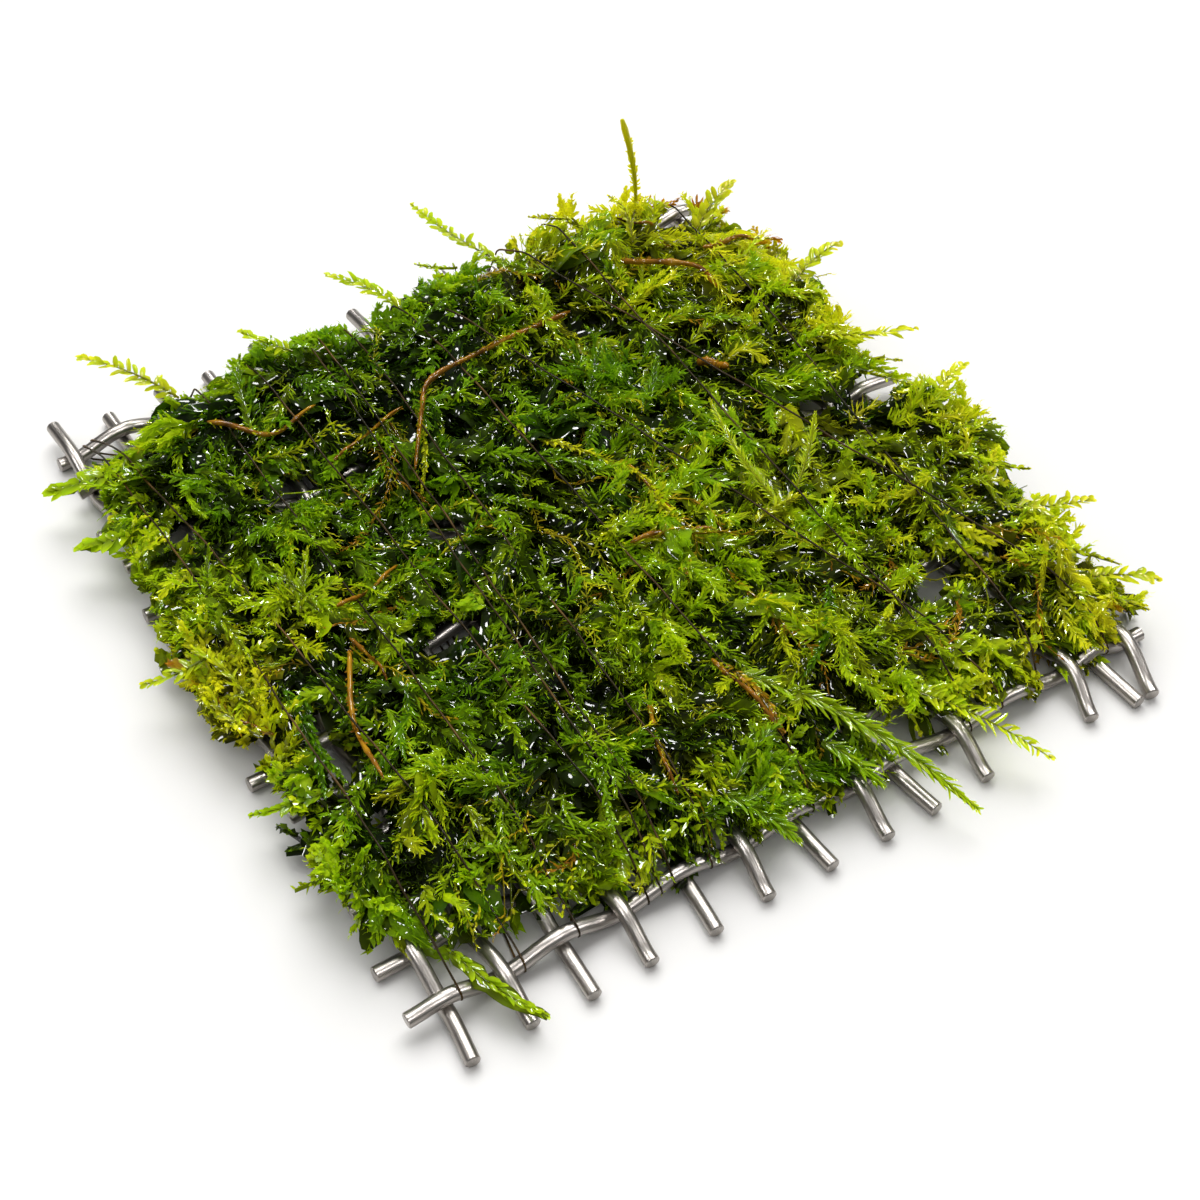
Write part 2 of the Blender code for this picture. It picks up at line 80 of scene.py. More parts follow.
END_BEVEL = 0.1

# Tying thread: turns in the order of winding, each with its place on the front wire and on the back
# wire in pitches, and the place of the run that follows below it, in pitches from mid channel
THREAD_TURNS = (
    (0.2, 0.28, 0.0), (1.27, 0.45, 0.14), (2.2, 2.28, -0.14), (3.45, 3.3, 0.0), (3.67, 4.5, 0.14),
    (3.9, 4.75, -0.14), (4.61, 5.3, 0.0), (6.52, 6.3, -0.14), (9.68, 9.6, -0.14), (11.15, 12.3, 0.0),
    (12.6, 8.5, 0.14), (10.3, 6.5, 0.0),
)
WRAP_ANGLES = (15, 45, 75, 105, 135, 165, 180)
UNDER_RUN_HEIGHT = 0.22
THREAD_LIFT = 0.3
THREAD_ORDER_LIFT = 0.02
THREAD_SIDES = 5
THREAD_STEP = 0.55
# Waver of the wound thread: height, length and phase of each sine
THREAD_WAVERS = ((0.09, 3.1, 0), (0.05, 1.3, 1))
RUN_STEPS = 161
RUN_OVERHANG = 0.6
PRESS_SLOPE = 0.8

# Brown stems: radius, lift above the moss and route points x, y
BROWN_STEMS = (
    (0.36, 1.3, ((23.9, 28.8), (28.2, 26.9), (31.7, 23.6), (31.4, 19.8))),
    (0.3, 1.5, ((14.4, 25), (3.2, 24.3), (-4.9, 23.4), (-7.8, 20.5), (-12.6, 13.7))),
    (0.28, 1.2, ((-28.6, 31.2), (-23.4, 26.5), (-17.5, 27.2))),
    (0.26, 1.2, ((-31.1, -5.5), (-34.9, -13.3), (-36, -21.2))),
)
FALLEN_STEMS = (
    (0.24, 1.2, ((0.2, -8.8), (4.8, -9.6), (8.7, -11.5))),
    (0.22, 1.0, ((-29.7, -0.4), (-25.2, 0.6), (-21.2, 2.4))),
    (0.18, 0.5, ((-30.3, -4.0), (-29.2, -7.4), (-29.4, -10.0))),
    (0.28, 1.3, ((34.2, 26.6), (38.4, 26.4), (42.1, 25.4))),
    (0.2, 0.6, ((27.4, 35.0), (30.0, 33.2), (31.6, 33.0))),
    (0.5, 0.9, ((22.9, 11.4), (24.2, 9.8), (24.7, 8.0))),
    (0.2, 0.5, ((6.8, 2.8), (7.2, -3.4), (6.6, -8.0))),
    (0.26, 1.0, ((-0.9, -25.2), (-0.4, -30.2), (0.1, -36.0))),
    (0.22, 0.2, ((-41.4, -8.6), (-43.6, -5.2), (-44.6, -1.0))),
    (0.2, 0.4, ((-9.0, -26.0), (-11.6, -31.8), (-12.6, -36.4))),
    (0.18, 0.5, ((-20.0, 20.0), (-15.0, 21.6), (-9.0, 22.8))),
)
STEM_SIDES = 10
# Steps to each stretch of a stem's route, and its knots: number, height for a radius, and width as a
# share of the length
STEM_STEPS = 14
KNOT_COUNT = 5
KNOT_HEIGHT = 0.28
KNOT_WIDTH = 0.03

# The moss mat
BED_HEIGHT = 2.7
UNDER_HEIGHT = 0.7
FARTHEST_OUT = 1.2
SCATTER_REACH = 50
UNDER_INSET = 6.0
LOWEST_LEAF = 0.35
RIM_DROOP = 0.45
LEFT_DROOP = 0.9
# Slanting openings that show the mesh from the front left: x and y on the mesh, half lengths along X and Y
OPENINGS = (
    (-21.9, 23.2, 2.6, 2.0), (-24.9, 22.9, 1.6, 1.1), (-15.2, 23.2, 2.9, 1.3), (-10.9, 9.9, 3.6, 1.6),
    (-17.1, -3.0, 3.4, 1.7), (-20.6, -4.4, 2.2, 1.5), (-35.7, -6.6, 1.7, 1.7), (-35.8, -12.0, 1.7, 2.0),
    (-36.4, -21.4, 1.2, 1.7), (-36.0, -32.4, 1.0, 1.8), (-30.3, -34.6, 1.9, 1.5), (-30.6, -38.6, 1.6, 1.1),
    (-35.8, 24.4, 1.2, 1.7), (42.7, 3.4, 3.8, 2.6), (34.9, 4.4, 2.8, 1.5), (32.0, -23.4, 2.3, 1.5),
    (28.6, -25.4, 2.3, 1.5), (33.8, -28.6, 1.6, 1.1), (32.3, -39.6, 1.9, 1.5), (13.3, -38.8, 2.6, 1.5),
    (-41.9, -6.1, 1.3, 1.7), (40.7, 41.5, 2.7, 1.8),
)
# Shoots that cross the core of an opening are left out, and leaves keep out of the whole of it
OPENING_CORE = 0.8
MESH_HEIGHT = 1.35
STRAY_LEAVES = 0.03
# Wet flecks: share of the leaves that have one, least and greatest length and width, spread of the arc's
# rise as a share of the length, spread of the face's lean, and height above the leaf
FLECK_SHARE = 0.44
FLECK_LENGTH = (0.25, 0.95)
FLECK_WIDTH = (0.022, 0.05)
FLECK_ARC = 0.3
FLECK_LEAN = 0.17
FLECK_LIFT = 0.05
# Angle between leaf and stem at the shoot's base, and how much less it is at the tip, in degrees
LEAF_LEAN = 62
LEAN_LOSS = 28
LEAST_PAIRS = 3
SHADE_RANGE = (0.01, 0.82)
# How much darker a leaf is for each mm below the top, as painted shade, and how much lighter its tip is
PAINTED_DEPTH_SHADE = 0.2
TIP_SHADE = 0.36
# Painted light and shade: a leaf's edge facing +X, towards the key light, is lighter by this, the other
# darker
PAINTED_EDGE_SHADE = 0.13
EDGE_TINT = 0.012
LEAF_SHADES = 0.18
# Straps are darker than the leaves above them, as painted shade, and their raised middle line lighter
PAINTED_STRAP_SHADE = -0.26
STRAP_RIDGE_SHADE = 0.16
# How far a strap's edges hang for each millimetre of its half width, and how high its middle line stands
STRAP_SAG = 0.35
STRAP_RIDGE = 0.06
STEM_SHADE = -0.2
BRIGHT_LEAVES = 0.2
# Painted glow at the rim, as of light through the leaves: how much lighter, and over what width it fades
PAINTED_RIM_GLOW = 0.28
PAINTED_RIM_GLOW_WIDTH = 5.0
# Width of the rim, and how much of their own size its leaves gain there, and how much yellower they are
RIM_WIDTH = 6
RIM_CHANGES = (("width", 0.8), ("leaf", -0.15), ("gap", 0.35))
RIM_TINT = 0.05
# The highest tint of a fresh leaf, the lowest of an old shoot, and the part of the map that is used
FRESH_TINT = 0.745
OLD_TINT = 0.8
MAP_RANGE = (0.004, 0.996)
# Sines across the pad: rates along X and Y in radians for each millimetre, phase and, in the first two,
# height. Hummocks are in millimetres and swings of the headings in radians.
HUMMOCKS = (
    (0.48, 0.12, 0.3, 0.4), (-0.22, 0.55, 1.7, 0.38), (0.75, -0.64, 4.1, 0.36), (0.3, 0.95, 2.2, 0.34),
    (-1.1, 0.35, 5.0, 0.32), (1.5, 1.1, 0.7, 0.26), (-1.3, 1.6, 3.3, 0.26),
)
SWINGS = ((0.21, 0.11, 0.6, 0.8), (-0.16, 0.33, 2.3, 0.7), (0.5, 0.24, 4.0, 0.5))
LOCK_WAVES = ((0.42, -0.3, 0.5), (-0.25, 0.62, 2.0), (0.9, 0.5, 4.4))
# Painted light and shade: where these waves are high the plants are lighter and yellower, where low darker
PAINTED_LIGHT_WAVES = ((0.62, 0.2, 1.4), (-0.35, 0.7, 0.2), (1.1, -0.6, 3.0), (0.5, 1.3, 5.1))
WIDTH_WAVES = ((0.33, 0.41, 3.6), (0.7, -0.52, 1.2), (-1.2, 0.3, 0.4))
# Heading of the plants in the middle, in radians from +X
FRONTWARD = -1.45
# Plants of the bed, of the crown and in the mesh: length, side shoots, lowest and highest level between
# bed and top, darkest and lightest shade, and spread of the headings
# Painted shade darkens the bed below the crown, and painted light brightens the plants in the mesh
BED_PLANTS = (13.0, 5, (0.0, 0.45), (0.3, 0.5), 0.9)
CROWN_PLANTS = (10.0, 6, (0.45, 1.0), (0.34, 0.6), 0.4)
UNDER_PLANTS = (9.0, 4, (0.0, 0.0), (0.85, 1.0), 0.9)
RIM_SPACING = 1.8
RIM_BAND = 4.2
STRAND_COUNT = 190
COMB_COUNT = 280
# Where the front and the left rim begin, and how much farther or less far their shoots reach
FRONT_RIM = -34
FRONT_REACH = 2.4
LEFT_RIM = -38
LEFT_REACH = -2.2
# The same for plants of the mat that head out, from a little farther in
RIM_DEPTH = 4
HEADS_OUT = 0.3
FRONT_LEAVE = 1.6
LEFT_LEAVE = -1.4
# Shares of the plants that are ribbons and that are dead, and the tint of the dead
RIBBON_SHARE = 0.16
OLD_SHARE = 0.01
DEAD_TINT = 0.93
# Spots of painted light and painted shade on the mat: x, y, radius and how much lighter its leaves are
PAINTED_LIGHT_SPOTS = (
    (29, 37, 9, 0.36), (21, 38, 6, 0.2), (38, 30, 8, 0.36), (41, 20, 6, 0.3), (42, 9, 6, 0.28),
    (44, -6, 6, 0.2), (45, -20, 6, 0.24), (44, -36, 6, 0.2), (-45, -4, 6, -0.24), (-30, 3, 6, 0.2),
    (30, 0, 6, 0.2), (20, 0, 6, 0.15), (10, -8, 7, 0.28), (3, -13, 5, 0.2), (-3, -20, 4, 0.25),
    (20, -13, 6, 0.2), (12, 15, 5, 0.2), (-36, -39, 6, 0.15), (2, -33, 4, 0.15), (-20, 2, 4, 0.15),
    (-12, -19, 7, -0.35), (30, -21, 5, -0.2), (10, -29, 5, -0.25), (-20, 12, 7, -0.1), (-17, 27, 7, -0.15),
    (-6, 28, 7, -0.2), (-11, -6, 6, -0.32), (1, 3, 6, -0.32), (28, 8, 4, -0.15), (14, 24, 6, -0.25),
    (-38, -13, 4, -0.2), (-3, 12, 5, -0.15), (-30, -30, 6, -0.2), (-30, 24, 6, -0.12), (22, -22, 4, -0.15),
    (-8, -28, 7, -0.14), (-11, -40, 7, -0.22), (34, -25, 6, 0.16),
)
# Tints from 0 to 1: near black green, deep green, green, bright green, yellow green, olive yellow, amber,
# brown. Each spot of the mat has x, y, radius and tint.
TINT_SPOTS = (
    (-28, 30, 11, 0.38), (-14, 24, 12, 0.33), (-30, 12, 10, 0.4), (-44, 30, 8, 0.56), (-45, 12, 7, 0.62),
    (-46, -4, 7, 0.66), (-44, -22, 9, 0.52), (-36, 4, 7, 0.6), (-26, -10, 9, 0.4), (-34, -24, 9, 0.46),
    (-20, -22, 9, 0.38), (-22, -34, 8, 0.48), (-4, -22, 9, 0.48), (4, -38, 7, 0.44), (-4, 14, 10, 0.38),
    (-2, 34, 11, 0.34), (10, 12, 9, 0.35), (2, -2, 9, 0.48), (12, 30, 8, 0.56), (24, 36, 9, 0.72),
    (34, 28, 9, 0.68), (26, 18, 9, 0.5), (40, 14, 8, 0.64), (22, 2, 9, 0.54), (36, -6, 9, 0.56),
    (42, -16, 8, 0.64), (16, -16, 9, 0.54), (14, -30, 8, 0.54), (28, -22, 9, 0.52), (30, -36, 8, 0.54),
    (42, -34, 8, 0.68), (6, -30, 6, 0.6),
)
# The tint far from all spots, and the weight that it has everywhere
FAR_TINT = 0.42
FAR_WEIGHT = 1e-9
# Tufts that stand up from the mat: x, y, tint and number of shoots
TUFTS = (
    (-32, 3.5, 0.6, 18), (-39, 8, 0.55, 9), (23, 39, 0.7, 12), (16, 13, 0.36, 16), (12, 17, 0.34, 12),
    (20, -1, 0.5, 10), (2, -4, 0.6, 12), (-2, -18, 0.56, 14), (8, -14, 0.54, 10), (24, -17, 0.5, 10),
    (12, -30, 0.55, 8), (43, -13, 0.6, 10), (38, -33, 0.62, 10), (-44, -28, 0.46, 10), (-30, -34, 0.45, 8),
    (-6, -40, 0.4, 16), (-16, -28, 0.38, 10), (5, 30, 0.36, 10), (5, 36, 0.34, 10), (-30, 22, 0.38, 8),
    (-24, 30, 0.36, 8), (-10, 34, 0.32, 8), (30, 34, 0.7, 10), (36, 20, 0.55, 8), (-38, -20, 0.4, 8),
    (-22, -14, 0.36, 8), (32, 10, 0.5, 8), (-3, -38.5, 0.44, 14), (42, -26, 0.62, 10), (-14, 2, 0.34, 8),
    (-7, 40.5, 0.4, 12), (-3, 39.6, 0.42, 12), (1.5, 39, 0.44, 12), (-12, 38.8, 0.42, 10),
    (-16.5, 39.4, 0.44, 12), (6, 40, 0.5, 12), (-43.6, -2, 0.67, 12), (-43.6, -7, 0.68, 12),
    (-43, 2.5, 0.67, 12), (-42.6, -11, 0.65, 10), (-43, 20, 0.56, 8), (42, 8, 0.66, 8), (44, -38, 0.68, 8),
    (30, 39, 0.72, 8), (37, 31, 0.7, 8),
)

# Single leafy shoots that stand for nodes of the frame: node, base x and y, tip x, y and z, leaf length and
# width, spacing of the leaf pairs, how far the leaves lean out, half width of the strap, tint and sideways
# bow as a share of the length
EDGE_SHOOTS = (
    ("back_sprig_long", (12.0, 37.0), (8.8, 52.0, 9.5), 1.5, 0.7, 0.95, 0.95, 0, 0.62, 0.05),
    ("back_sprig_short", (-1.1, 36.8), (-6.0, 46.0, 9.0), 1.8, 0.85, 0.9, 1.0, 0, 0.62, -0.06),
    ("back_sprig_small", (-15.2, 37.0), (-18.6, 43.5, 8.0), 1.6, 0.7, 0.85, 1.0, 0, 0.63, 0.06),
    ("left_corner_sprig", (-29.0, 38.0), (-36.2, 48.3, 8.5), 1.75, 0.68, 0.85, 1.1, 0, 0.68, -0.05),
    ("left_sprig_back", (-40.6, 32.0), (-46.6, 34.8, 4.2), 1.9, 1.2, 0.9, 1.1, 0.8, 0.56, 0.05),
    ("left_sprig_middle", (-42.0, 22.5), (-47.2, 25.4, 4.2), 1.9, 1.2, 0.9, 1.1, 0.8, 0.55, 0.04),
    ("left_sprig_tip", (-43.2, 2.2), (-49.4, 4.8, 4.2), 1.6, 0.6, 1.1, 1.1, 0.12, 0.62, 0.08),
    ("left_sprig_low", (-40.0, -18.6), (-47.4, -15.0, 3.9), 1.3, 0.6, 0.7, 1.0, 0.25, 0.5, 0.06),
    ("front_sprig_bright", (-38.4, -37.6), (-34.6, -48.3, 3.2), 1.5, 0.55, 0.7, 0.55, 0.9, 0.55, -0.05),
    ("front_sprig_green", (-9.0, -38.0), (-4.4, -45.2, 4.0), 2.2, 0.3, 0.34, 0.7, 0.6, 0.46, 0.05),
    ("front_sprig_broad", (3.6, -38.0), (6.4, -44.2, 4.2), 2.3, 0.3, 0.34, 0.7, 0.6, 0.48, 0.04),
    ("front_fern_long", (0.6, -28.0), (13.0, -51.2, 3.4), 2.3, 0.3, 0.36, 0.78, 0.5, 0.56, 0.06),
    ("front_fern_right", (15.2, -37.0), (23.4, -50.4, 3.4), 2.0, 0.48, 0.75, 1.4, 0, 0.62, 0.04),
    ("right_sprig_front", (40.6, -36.0), (46.2, -40.2, 7.2), 1.7, 0.75, 0.85, 1.0, 0, 0.7, 0.05),
    ("right_sprig_low", (39.6, -24.6), (47.2, -28.4, 8.4), 1.7, 0.75, 0.9, 1.0, 0, 0.7, -0.05),
    ("right_sprig_middle", (39.0, -9.4), (47.4, -6.0, 10.4), 1.9, 0.75, 0.85, 1.05, 0, 0.7, 0.06),
    ("right_sprig_curl", (38.0, 7.6), (47.2, 2.4, 9.6), 1.9, 0.75, 0.85, 1.0, 0, 0.7, -0.08),
    ("right_sprig_back", (40.0, 16.0), (48.6, 18.6, 10.4), 1.8, 0.75, 0.9, 1.0, 0, 0.7, 0.05),
    ("corner_sprig", (36.2, 30.6), (43.2, 33.4, 11.6), 1.8, 0.85, 0.9, 1.0, 0, 0.71, 0.05),
    ("top_sprig_left", (17.8, -12.4), (17.6, 2.0, 13.0), 1.2, 0.16, 0.26, 0.9, 0.2, 0.64, 0.06),
    ("top_sprig_right", (20.6, -10.4), (26.2, -5.6, 13.0), 1.2, 0.16, 0.26, 0.9, 0.2, 0.64, -0.04),
)
SHOOT_STATIONS = 12
SHOOT_SHADE = 0.64
BRIGHT_SHOOTS = ("top_sprig_left", "top_sprig_right")
BRIGHT_SHADE = 0.86
UPRIGHT_SHOOT = ("upright_sprig", (31.6, 37.0), (27.0, 34.3, 26.0), 0.8, 0.4, 0.5, 1.3, 0.2, 0.76, 0.03)
UPRIGHT_RADII = (0.2, 0.2, 0.22, 0.25, 0.28, 0.3, 0.32, 0.33, 0.35, 0.38, 0.42, 0.25)
# Shoots that lie on top of the mat: base x and y, tip x and y, lift at the tip, half width, spacing of
# the leaf pairs, tint and bow
TOP_SHOOTS = (
    ((1.3, 10.6), (7.0, -2.4), 0.8, 1.3, 0.4, 0.74, 0.08),
    ((7.0, -2.4), (6.6, -8.9), 0.6, 1.2, 0.4, 0.72, -0.05),
    ((0.2, -8.8), (8.9, -11.8), 1.0, 1.2, 0.5, 0.66, 0.05),
    ((-3.8, -14.8), (-3.1, -24.5), 1.6, 1.7, 0.42, 0.62, 0.04),
    ((-1.6, -17.7), (-4.1, -25.7), 2.6, 1.5, 0.42, 0.6, -0.04),
    ((-0.6, -25.4), (0.1, -36.2), 0.6, 1.2, 0.5, 0.84, 0.08),
    ((-2.9, 9.0), (5.1, 1.4), 0.8, 1.9, 0.55, 0.42, 0.1),
    ((-22.3, -18.2), (-23.1, -25.7), 1.4, 1.5, 0.45, 0.5, 0.04),
    ((-16.6, -24.9), (-18.4, -32.6), 0.8, 1.3, 0.45, 0.42, 0.1),
    ((-7.3, -38.0), (0.3, -35.7), 2.2, 1.7, 0.42, 0.46, 0.06),
    ((-41.8, 11.4), (-40.0, -1.7), 1.0, 2.1, 0.62, 0.6, 0.05),
    ((-39.6, 9.0), (-37.1, 13.3), 2.4, 1.1, 0.45, 0.5, 0.02),
    ((-26.8, -1.4), (-21.0, 0.0), 1.0, 1.5, 0.38, 0.52, 0.04),
    ((-7.7, 22.2), (-13.4, 11.0), 0.3, 0.9, 0.5, 0.68, 0.06),
    ((34.2, 26.6), (43.2, 25.2), 1.2, 1.0, 0.55, 0.78, 0.03),
    ((38.6, 15.5), (45.2, 18.9), 1.6, 1.2, 0.7, 0.68, 0.04),
    ((35.2, 7.4), (44.8, 5.8), 1.4, 1.3, 0.75, 0.68, 0.06),
    ((36.7, 6.2), (45.3, 1.6), 0.8, 1.4, 0.75, 0.68, -0.06),
    ((38.1, 2.0), (41.6, -4.4), 0.6, 1.2, 0.7, 0.66, 0.05),
    ((39.6, -13.4), (45.5, -13.8), 1.8, 1.2, 0.7, 0.62, 0.04),
    ((38.1, -15.9), (44.9, -20.9), 1.6, 1.3, 0.7, 0.62, -0.06),
    ((37.1, -31.6), (44.4, -36.2), 1.4, 1.3, 0.75, 0.66, 0.06),
    ((36.4, -36.3), (44.4, -41.4), 0.8, 1.3, 0.7, 0.66, 0.05),
    ((15.2, -23.3), (5.6, -32.0), 0.4, 1.4, 0.4, 0.3, 0.08),
    ((-30.9, -27.6), (-28.1, -40.4), 0.2, 1.7, 0.55, 0.6, -0.06),
    ((-38.6, -5.5), (-41.2, -19.0), 0.2, 1.6, 0.5, 0.3, 0.06),
    ((-37.2, -7.0), (-38.9, -19.0), 0.2, 1.4, 0.5, 0.32, -0.06),
    ((-17.6, -26.8), (-20.5, -37.4), 0.4, 1.2, 0.42, 0.44, 0.05),
    ((-25.0, 27.8), (-21.2, 38.0), 2.0, 1.5, 0.55, 0.48, 0.05),
    ((-32.4, 25.7), (-30.0, 19.8), 1.6, 1.5, 0.45, 0.48, 0.1),
    ((8.8, 41.0), (4.9, 44.5), 1.6, 1.0, 0.6, 0.58, 0.04),
    ((9.2, 12.7), (13.9, 17.8), 2.4, 1.4, 0.4, 0.36, 0.04),
    ((13.0, 8.1), (17.9, 12.4), 2.4, 1.4, 0.4, 0.36, -0.04),
    ((14.0, -12.2), (20.6, -11.7), 0.4, 1.9, 0.6, 0.7, 0.06),
    ((-11.9, -39.0), (-1.1, -42.6), 0.6, 1.6, 0.45, 0.4, 0.04),
    ((-9.2, -39.6), (-0.3, -38.7), 1.8, 1.7, 0.42, 0.44, -0.06),
    ((-42.5, -8.6), (-45.0, 0.1), 0.2, 1.8, 0.6, 0.69, 0.06),
    ((-41.8, -6.3), (-44.3, 5.0), 0.6, 1.9, 0.6, 0.67, -0.06),
    ((-33.2, 0.7), (-29.3, 6.1), 3.2, 1.3, 0.45, 0.6, 0.02),
    ((-31.2, 0.2), (-33.6, 6.0), 2.8, 1.2, 0.45, 0.58, 0.02),
    ((-5.0, 30.0), (3.6, 33.8), 1.0, 1.4, 0.45, 0.36, 0.06),
    ((16.0, 31.0), (10.2, 37.0), 1.4, 1.4, 0.45, 0.54, 0.05),
    ((24.0, 33.0), (18.2, 40.2), 1.6, 1.4, 0.5, 0.68, 0.05),
    ((27.0, 31.0), (29.8, 40.4), 1.4, 1.4, 0.5, 0.7, -0.05),
    ((-12.0, 20.0), (-19.0, 14.0), 1.0, 1.4, 0.42, 0.34, 0.08),
    ((26.0, -4.0), (30.4, -13.0), 1.0, 1.4, 0.5, 0.52, 0.06),
    ((24.0, 20.0), (31.0, 12.6), 1.0, 1.4, 0.5, 0.5, 0.06),
    ((10.0, -20.0), (3.0, -26.0), 1.0, 1.3, 0.5, 0.56, 0.08),
    ((30.6, 24.0), (36.2, 21.0), 1.4, 1.2, 0.6, 0.7, 0.04),
    ((-8.0, 6.0), (-3.0, -3.0), 0.8, 1.4, 0.42, 0.46, 0.08),
)

# Studio
CAMERA_PLACE = (-88.525, -129.435, 169.95)
CAMERA_TURN = (41.462, -1.849, -33.152)
CAMERA_LENS = 63.37
CAMERA_SENSOR = 36.0
FLOOR_SIZE = 4000.0
# Lights: azimuth from +X towards +Y, elevation, apparent width, all in degrees, and strength. The soft ones
# light surfaces, and the small ones show only as glints in wet leaves and steel.
SOFT_LIGHTS = (
    (52, 48, 55, 2.8), (-118, 58, 50, 0.36), (150, 45, 55, 0.8), (95, 50, 55, 0.95), (-50, 50, 50, 0.22),
)
SMALL_LIGHTS = (
    (28, 52, 10, 1.1), (95, 62, 9, 0.8), (160, 50, 9, 0.8), (-75, 55, 9, 0.8), (-124, 54, 9, 0.7),
    (50, 78, 9, 0.8), (-30, 38, 9, 0.8), (64, 40, 9, 0.8),
)
WORLD_STRENGTH = 0.045


def noise_seed(name):
    """A generator of random numbers whose seed is the sum of the letters of a piece's name."""
    return np.random.default_rng(sum(ord(letter) * (place + 1) for place, letter in enumerate(name)))


def unit(vectors):
    """Vectors divided by their lengths."""
    return vectors / np.maximum(np.linalg.norm(vectors, axis=-1, keepdims=True), 1e-9)


def smooth_step(value):
    """3t^2 - 2t^3 for t from 0 to 1, and level outside."""
    t = np.clip(value, 0.0, 1.0)
    return t * t * (3 - 2 * t)


def make_mesh(name, shapes, material, node_names, flat=()):
    """Join shapes, each a set of points, triangles and map places, into one mesh in the row frame.

    The shapes whose numbers are in flat keep flat faces, and the others are smooth.
    """
    points = np.concatenate([shape[0] for shape in shapes])
    points[:, 2] = np.maximum(points[:, 2], 0.0)
    starts = np.cumsum([0] + [len(shape[0]) for shape in shapes[:-1]])
    corners = np.concatenate([shape[1] + start for shape, start in zip(shapes, starts)])
    places = np.concatenate([shape[2] for shape in shapes])
    data = bpy.data.meshes.new(name)
    data.vertices.add(len(points))
    data.vertices.foreach_set("co", ((points + MESH_MIDDLE) * MM).astype(np.float32).ravel())
    data.loops.add(corners.size)
    data.loops.foreach_set("vertex_index", corners.astype(np.int32).ravel())
    data.polygons.add(len(corners))
    data.polygons.foreach_set("loop_start", np.arange(0, corners.size, 3, dtype=np.int32))
    smooth = np.concatenate([np.full(len(shape[1]), place not in flat) for place, shape in enumerate(shapes)])
    data.polygons.foreach_set("use_smooth", smooth)
    uv_map = data.uv_layers.new(name="OFBake")
    uv_map.data.foreach_set("uv", places[corners.ravel()].astype(np.float32).ravel())
    data.update(calc_edges=True)
    data.validate()
    data.materials.append(material)
    piece = bpy.data.objects.new(name, data)
    bpy.context.scene.collection.objects.link(piece)
    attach(piece, BODY)
    if node_names:
        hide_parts(*node_names)
    return piece


def four_sided(a, b, c, d):
    """The triangles a b c and a c d of four-sided faces."""
    return np.concatenate([np.stack(three, -1).reshape(-1, 3) for three in ((a, b, c), (a, c, d))])


def lengths_along(points):
    """Length of a line up to each of its points."""
    return np.concatenate(([0.0], np.cumsum(np.linalg.norm(np.diff(points, axis=0), axis=1))))


def sweep(path, radii, sides, facing):
    """A closed round rod: ring k is path[k] + r[k] (cos a, sin a) in the plane across the path.

    The map place is the share round the ring and the share of the length.
    """
    tangent = unit(np.gradient(path, axis=0))
    side = unit(np.cross(tangent, facing))
    normal = np.cross(side, tangent)
    angle = np.linspace(0, TURN, sides, endpoint=False)
    ring = np.cos(angle)[None, :, None] * side[:, None] + np.sin(angle)[None, :, None] * normal[:, None]
    points = (path[:, None] + radii[:, None, None] * ring).reshape(-1, 3)
    rim = np.arange(sides)
    next_rim = (rim + 1) % sides
    last = (len(path) - 1) * sides
    rings = np.arange(0, last, sides)[:, None]
    a, b = rings + rim, rings + next_rim
    walls = four_sided(a, b, b + sides, a + sides)
    ends = np.stack([path[0], path[-1]])
    front, back = len(points), len(points) + 1
    caps = np.concatenate([
        np.stack([np.full(sides, front), next_rim, rim], -1),
        np.stack([np.full(sides, back), last + rim, last + next_rim], -1),
    ])
    share = lengths_along(path)
    share = share / share[-1]
    places = np.stack(np.broadcast_arrays((angle / TURN)[None], share[:, None]), -1).reshape(-1, 2)
    places = np.concatenate([places, [[0.5, 0.0], [0.5, 1.0]]])
    return np.concatenate([points, ends]), np.concatenate([walls, caps]), places


def column_x(column, row):
    """X of a column where it crosses a row: the slip at the front edge fades evenly to the back."""
    slip = FRONT_COLUMN_PLACES[column] - column
    return (column + slip * (1 - row / LAST_WIRE)) * PITCH - HALF_MESH


def weave(place, parity, low, high):
    """Height of a woven wire: a cosine from low to high and back over two pitches."""
    return (low + high) / 2 - (high - low) / 2 * np.cos(math.pi * (place + parity))


def sunk(z, low, share):
    """Height of a stub: one that leaves the weave on a high bend sinks by the side stub drop."""
    return z - np.where(z > low + HIGH_BEND, SIDE_STUB_DROP, 0.0) * smooth_step(share)


def column_path(column, low, high):
    """Centre line of a column wire: the weave, then a stub bent down to the table at the front."""
    front = -FRONT_STUBS[column]
    places = np.arange(front, LAST_WIRE + BACK_STUBS[column] + 1e-6, 1 / RINGS_TO_A_PITCH)
    inside = np.clip(places, 0, LAST_WIRE)
    x = column_x(column, inside)
    z = weave(inside, column, low, high)
    out = np.clip(-places / max(FRONT_STUBS[column], LEAST_STUB), 0, 1)
    x = x + FRONT_END_LEAN[column] * PITCH * out ** 1.3
    z = z - (z - low) * smooth_step((out - 0.1) / 0.85)
    z = sunk(z, low, (places - LAST_WIRE) / BACK_STUBS[column])
    return np.stack([x, places * PITCH - HALF_MESH, z], -1)


def row_path(row, low, high):
    """Centre line of a row wire: it passes over where a column passes under."""
    crossings = np.array([column_x(column, row) for column in range(WIRE_COUNT)])
    places = np.arange(-LEFT_STUBS[row], LAST_WIRE + RIGHT_STUBS[row] + 1e-6, 1 / RINGS_TO_A_PITCH)
    inside = np.clip(places, 0, LAST_WIRE)
    x = np.interp(inside, np.arange(WIRE_COUNT), crossings) + (places - inside) * PITCH
    z = weave(inside, row + 1, low, high)
    out = np.where(places < 0, -places / LEFT_STUBS[row], (places - LAST_WIRE) / RIGHT_STUBS[row])
    z = sunk(z, low, out)
    return np.stack([x, np.full_like(x, row * PITCH - HALF_MESH), z], -1)


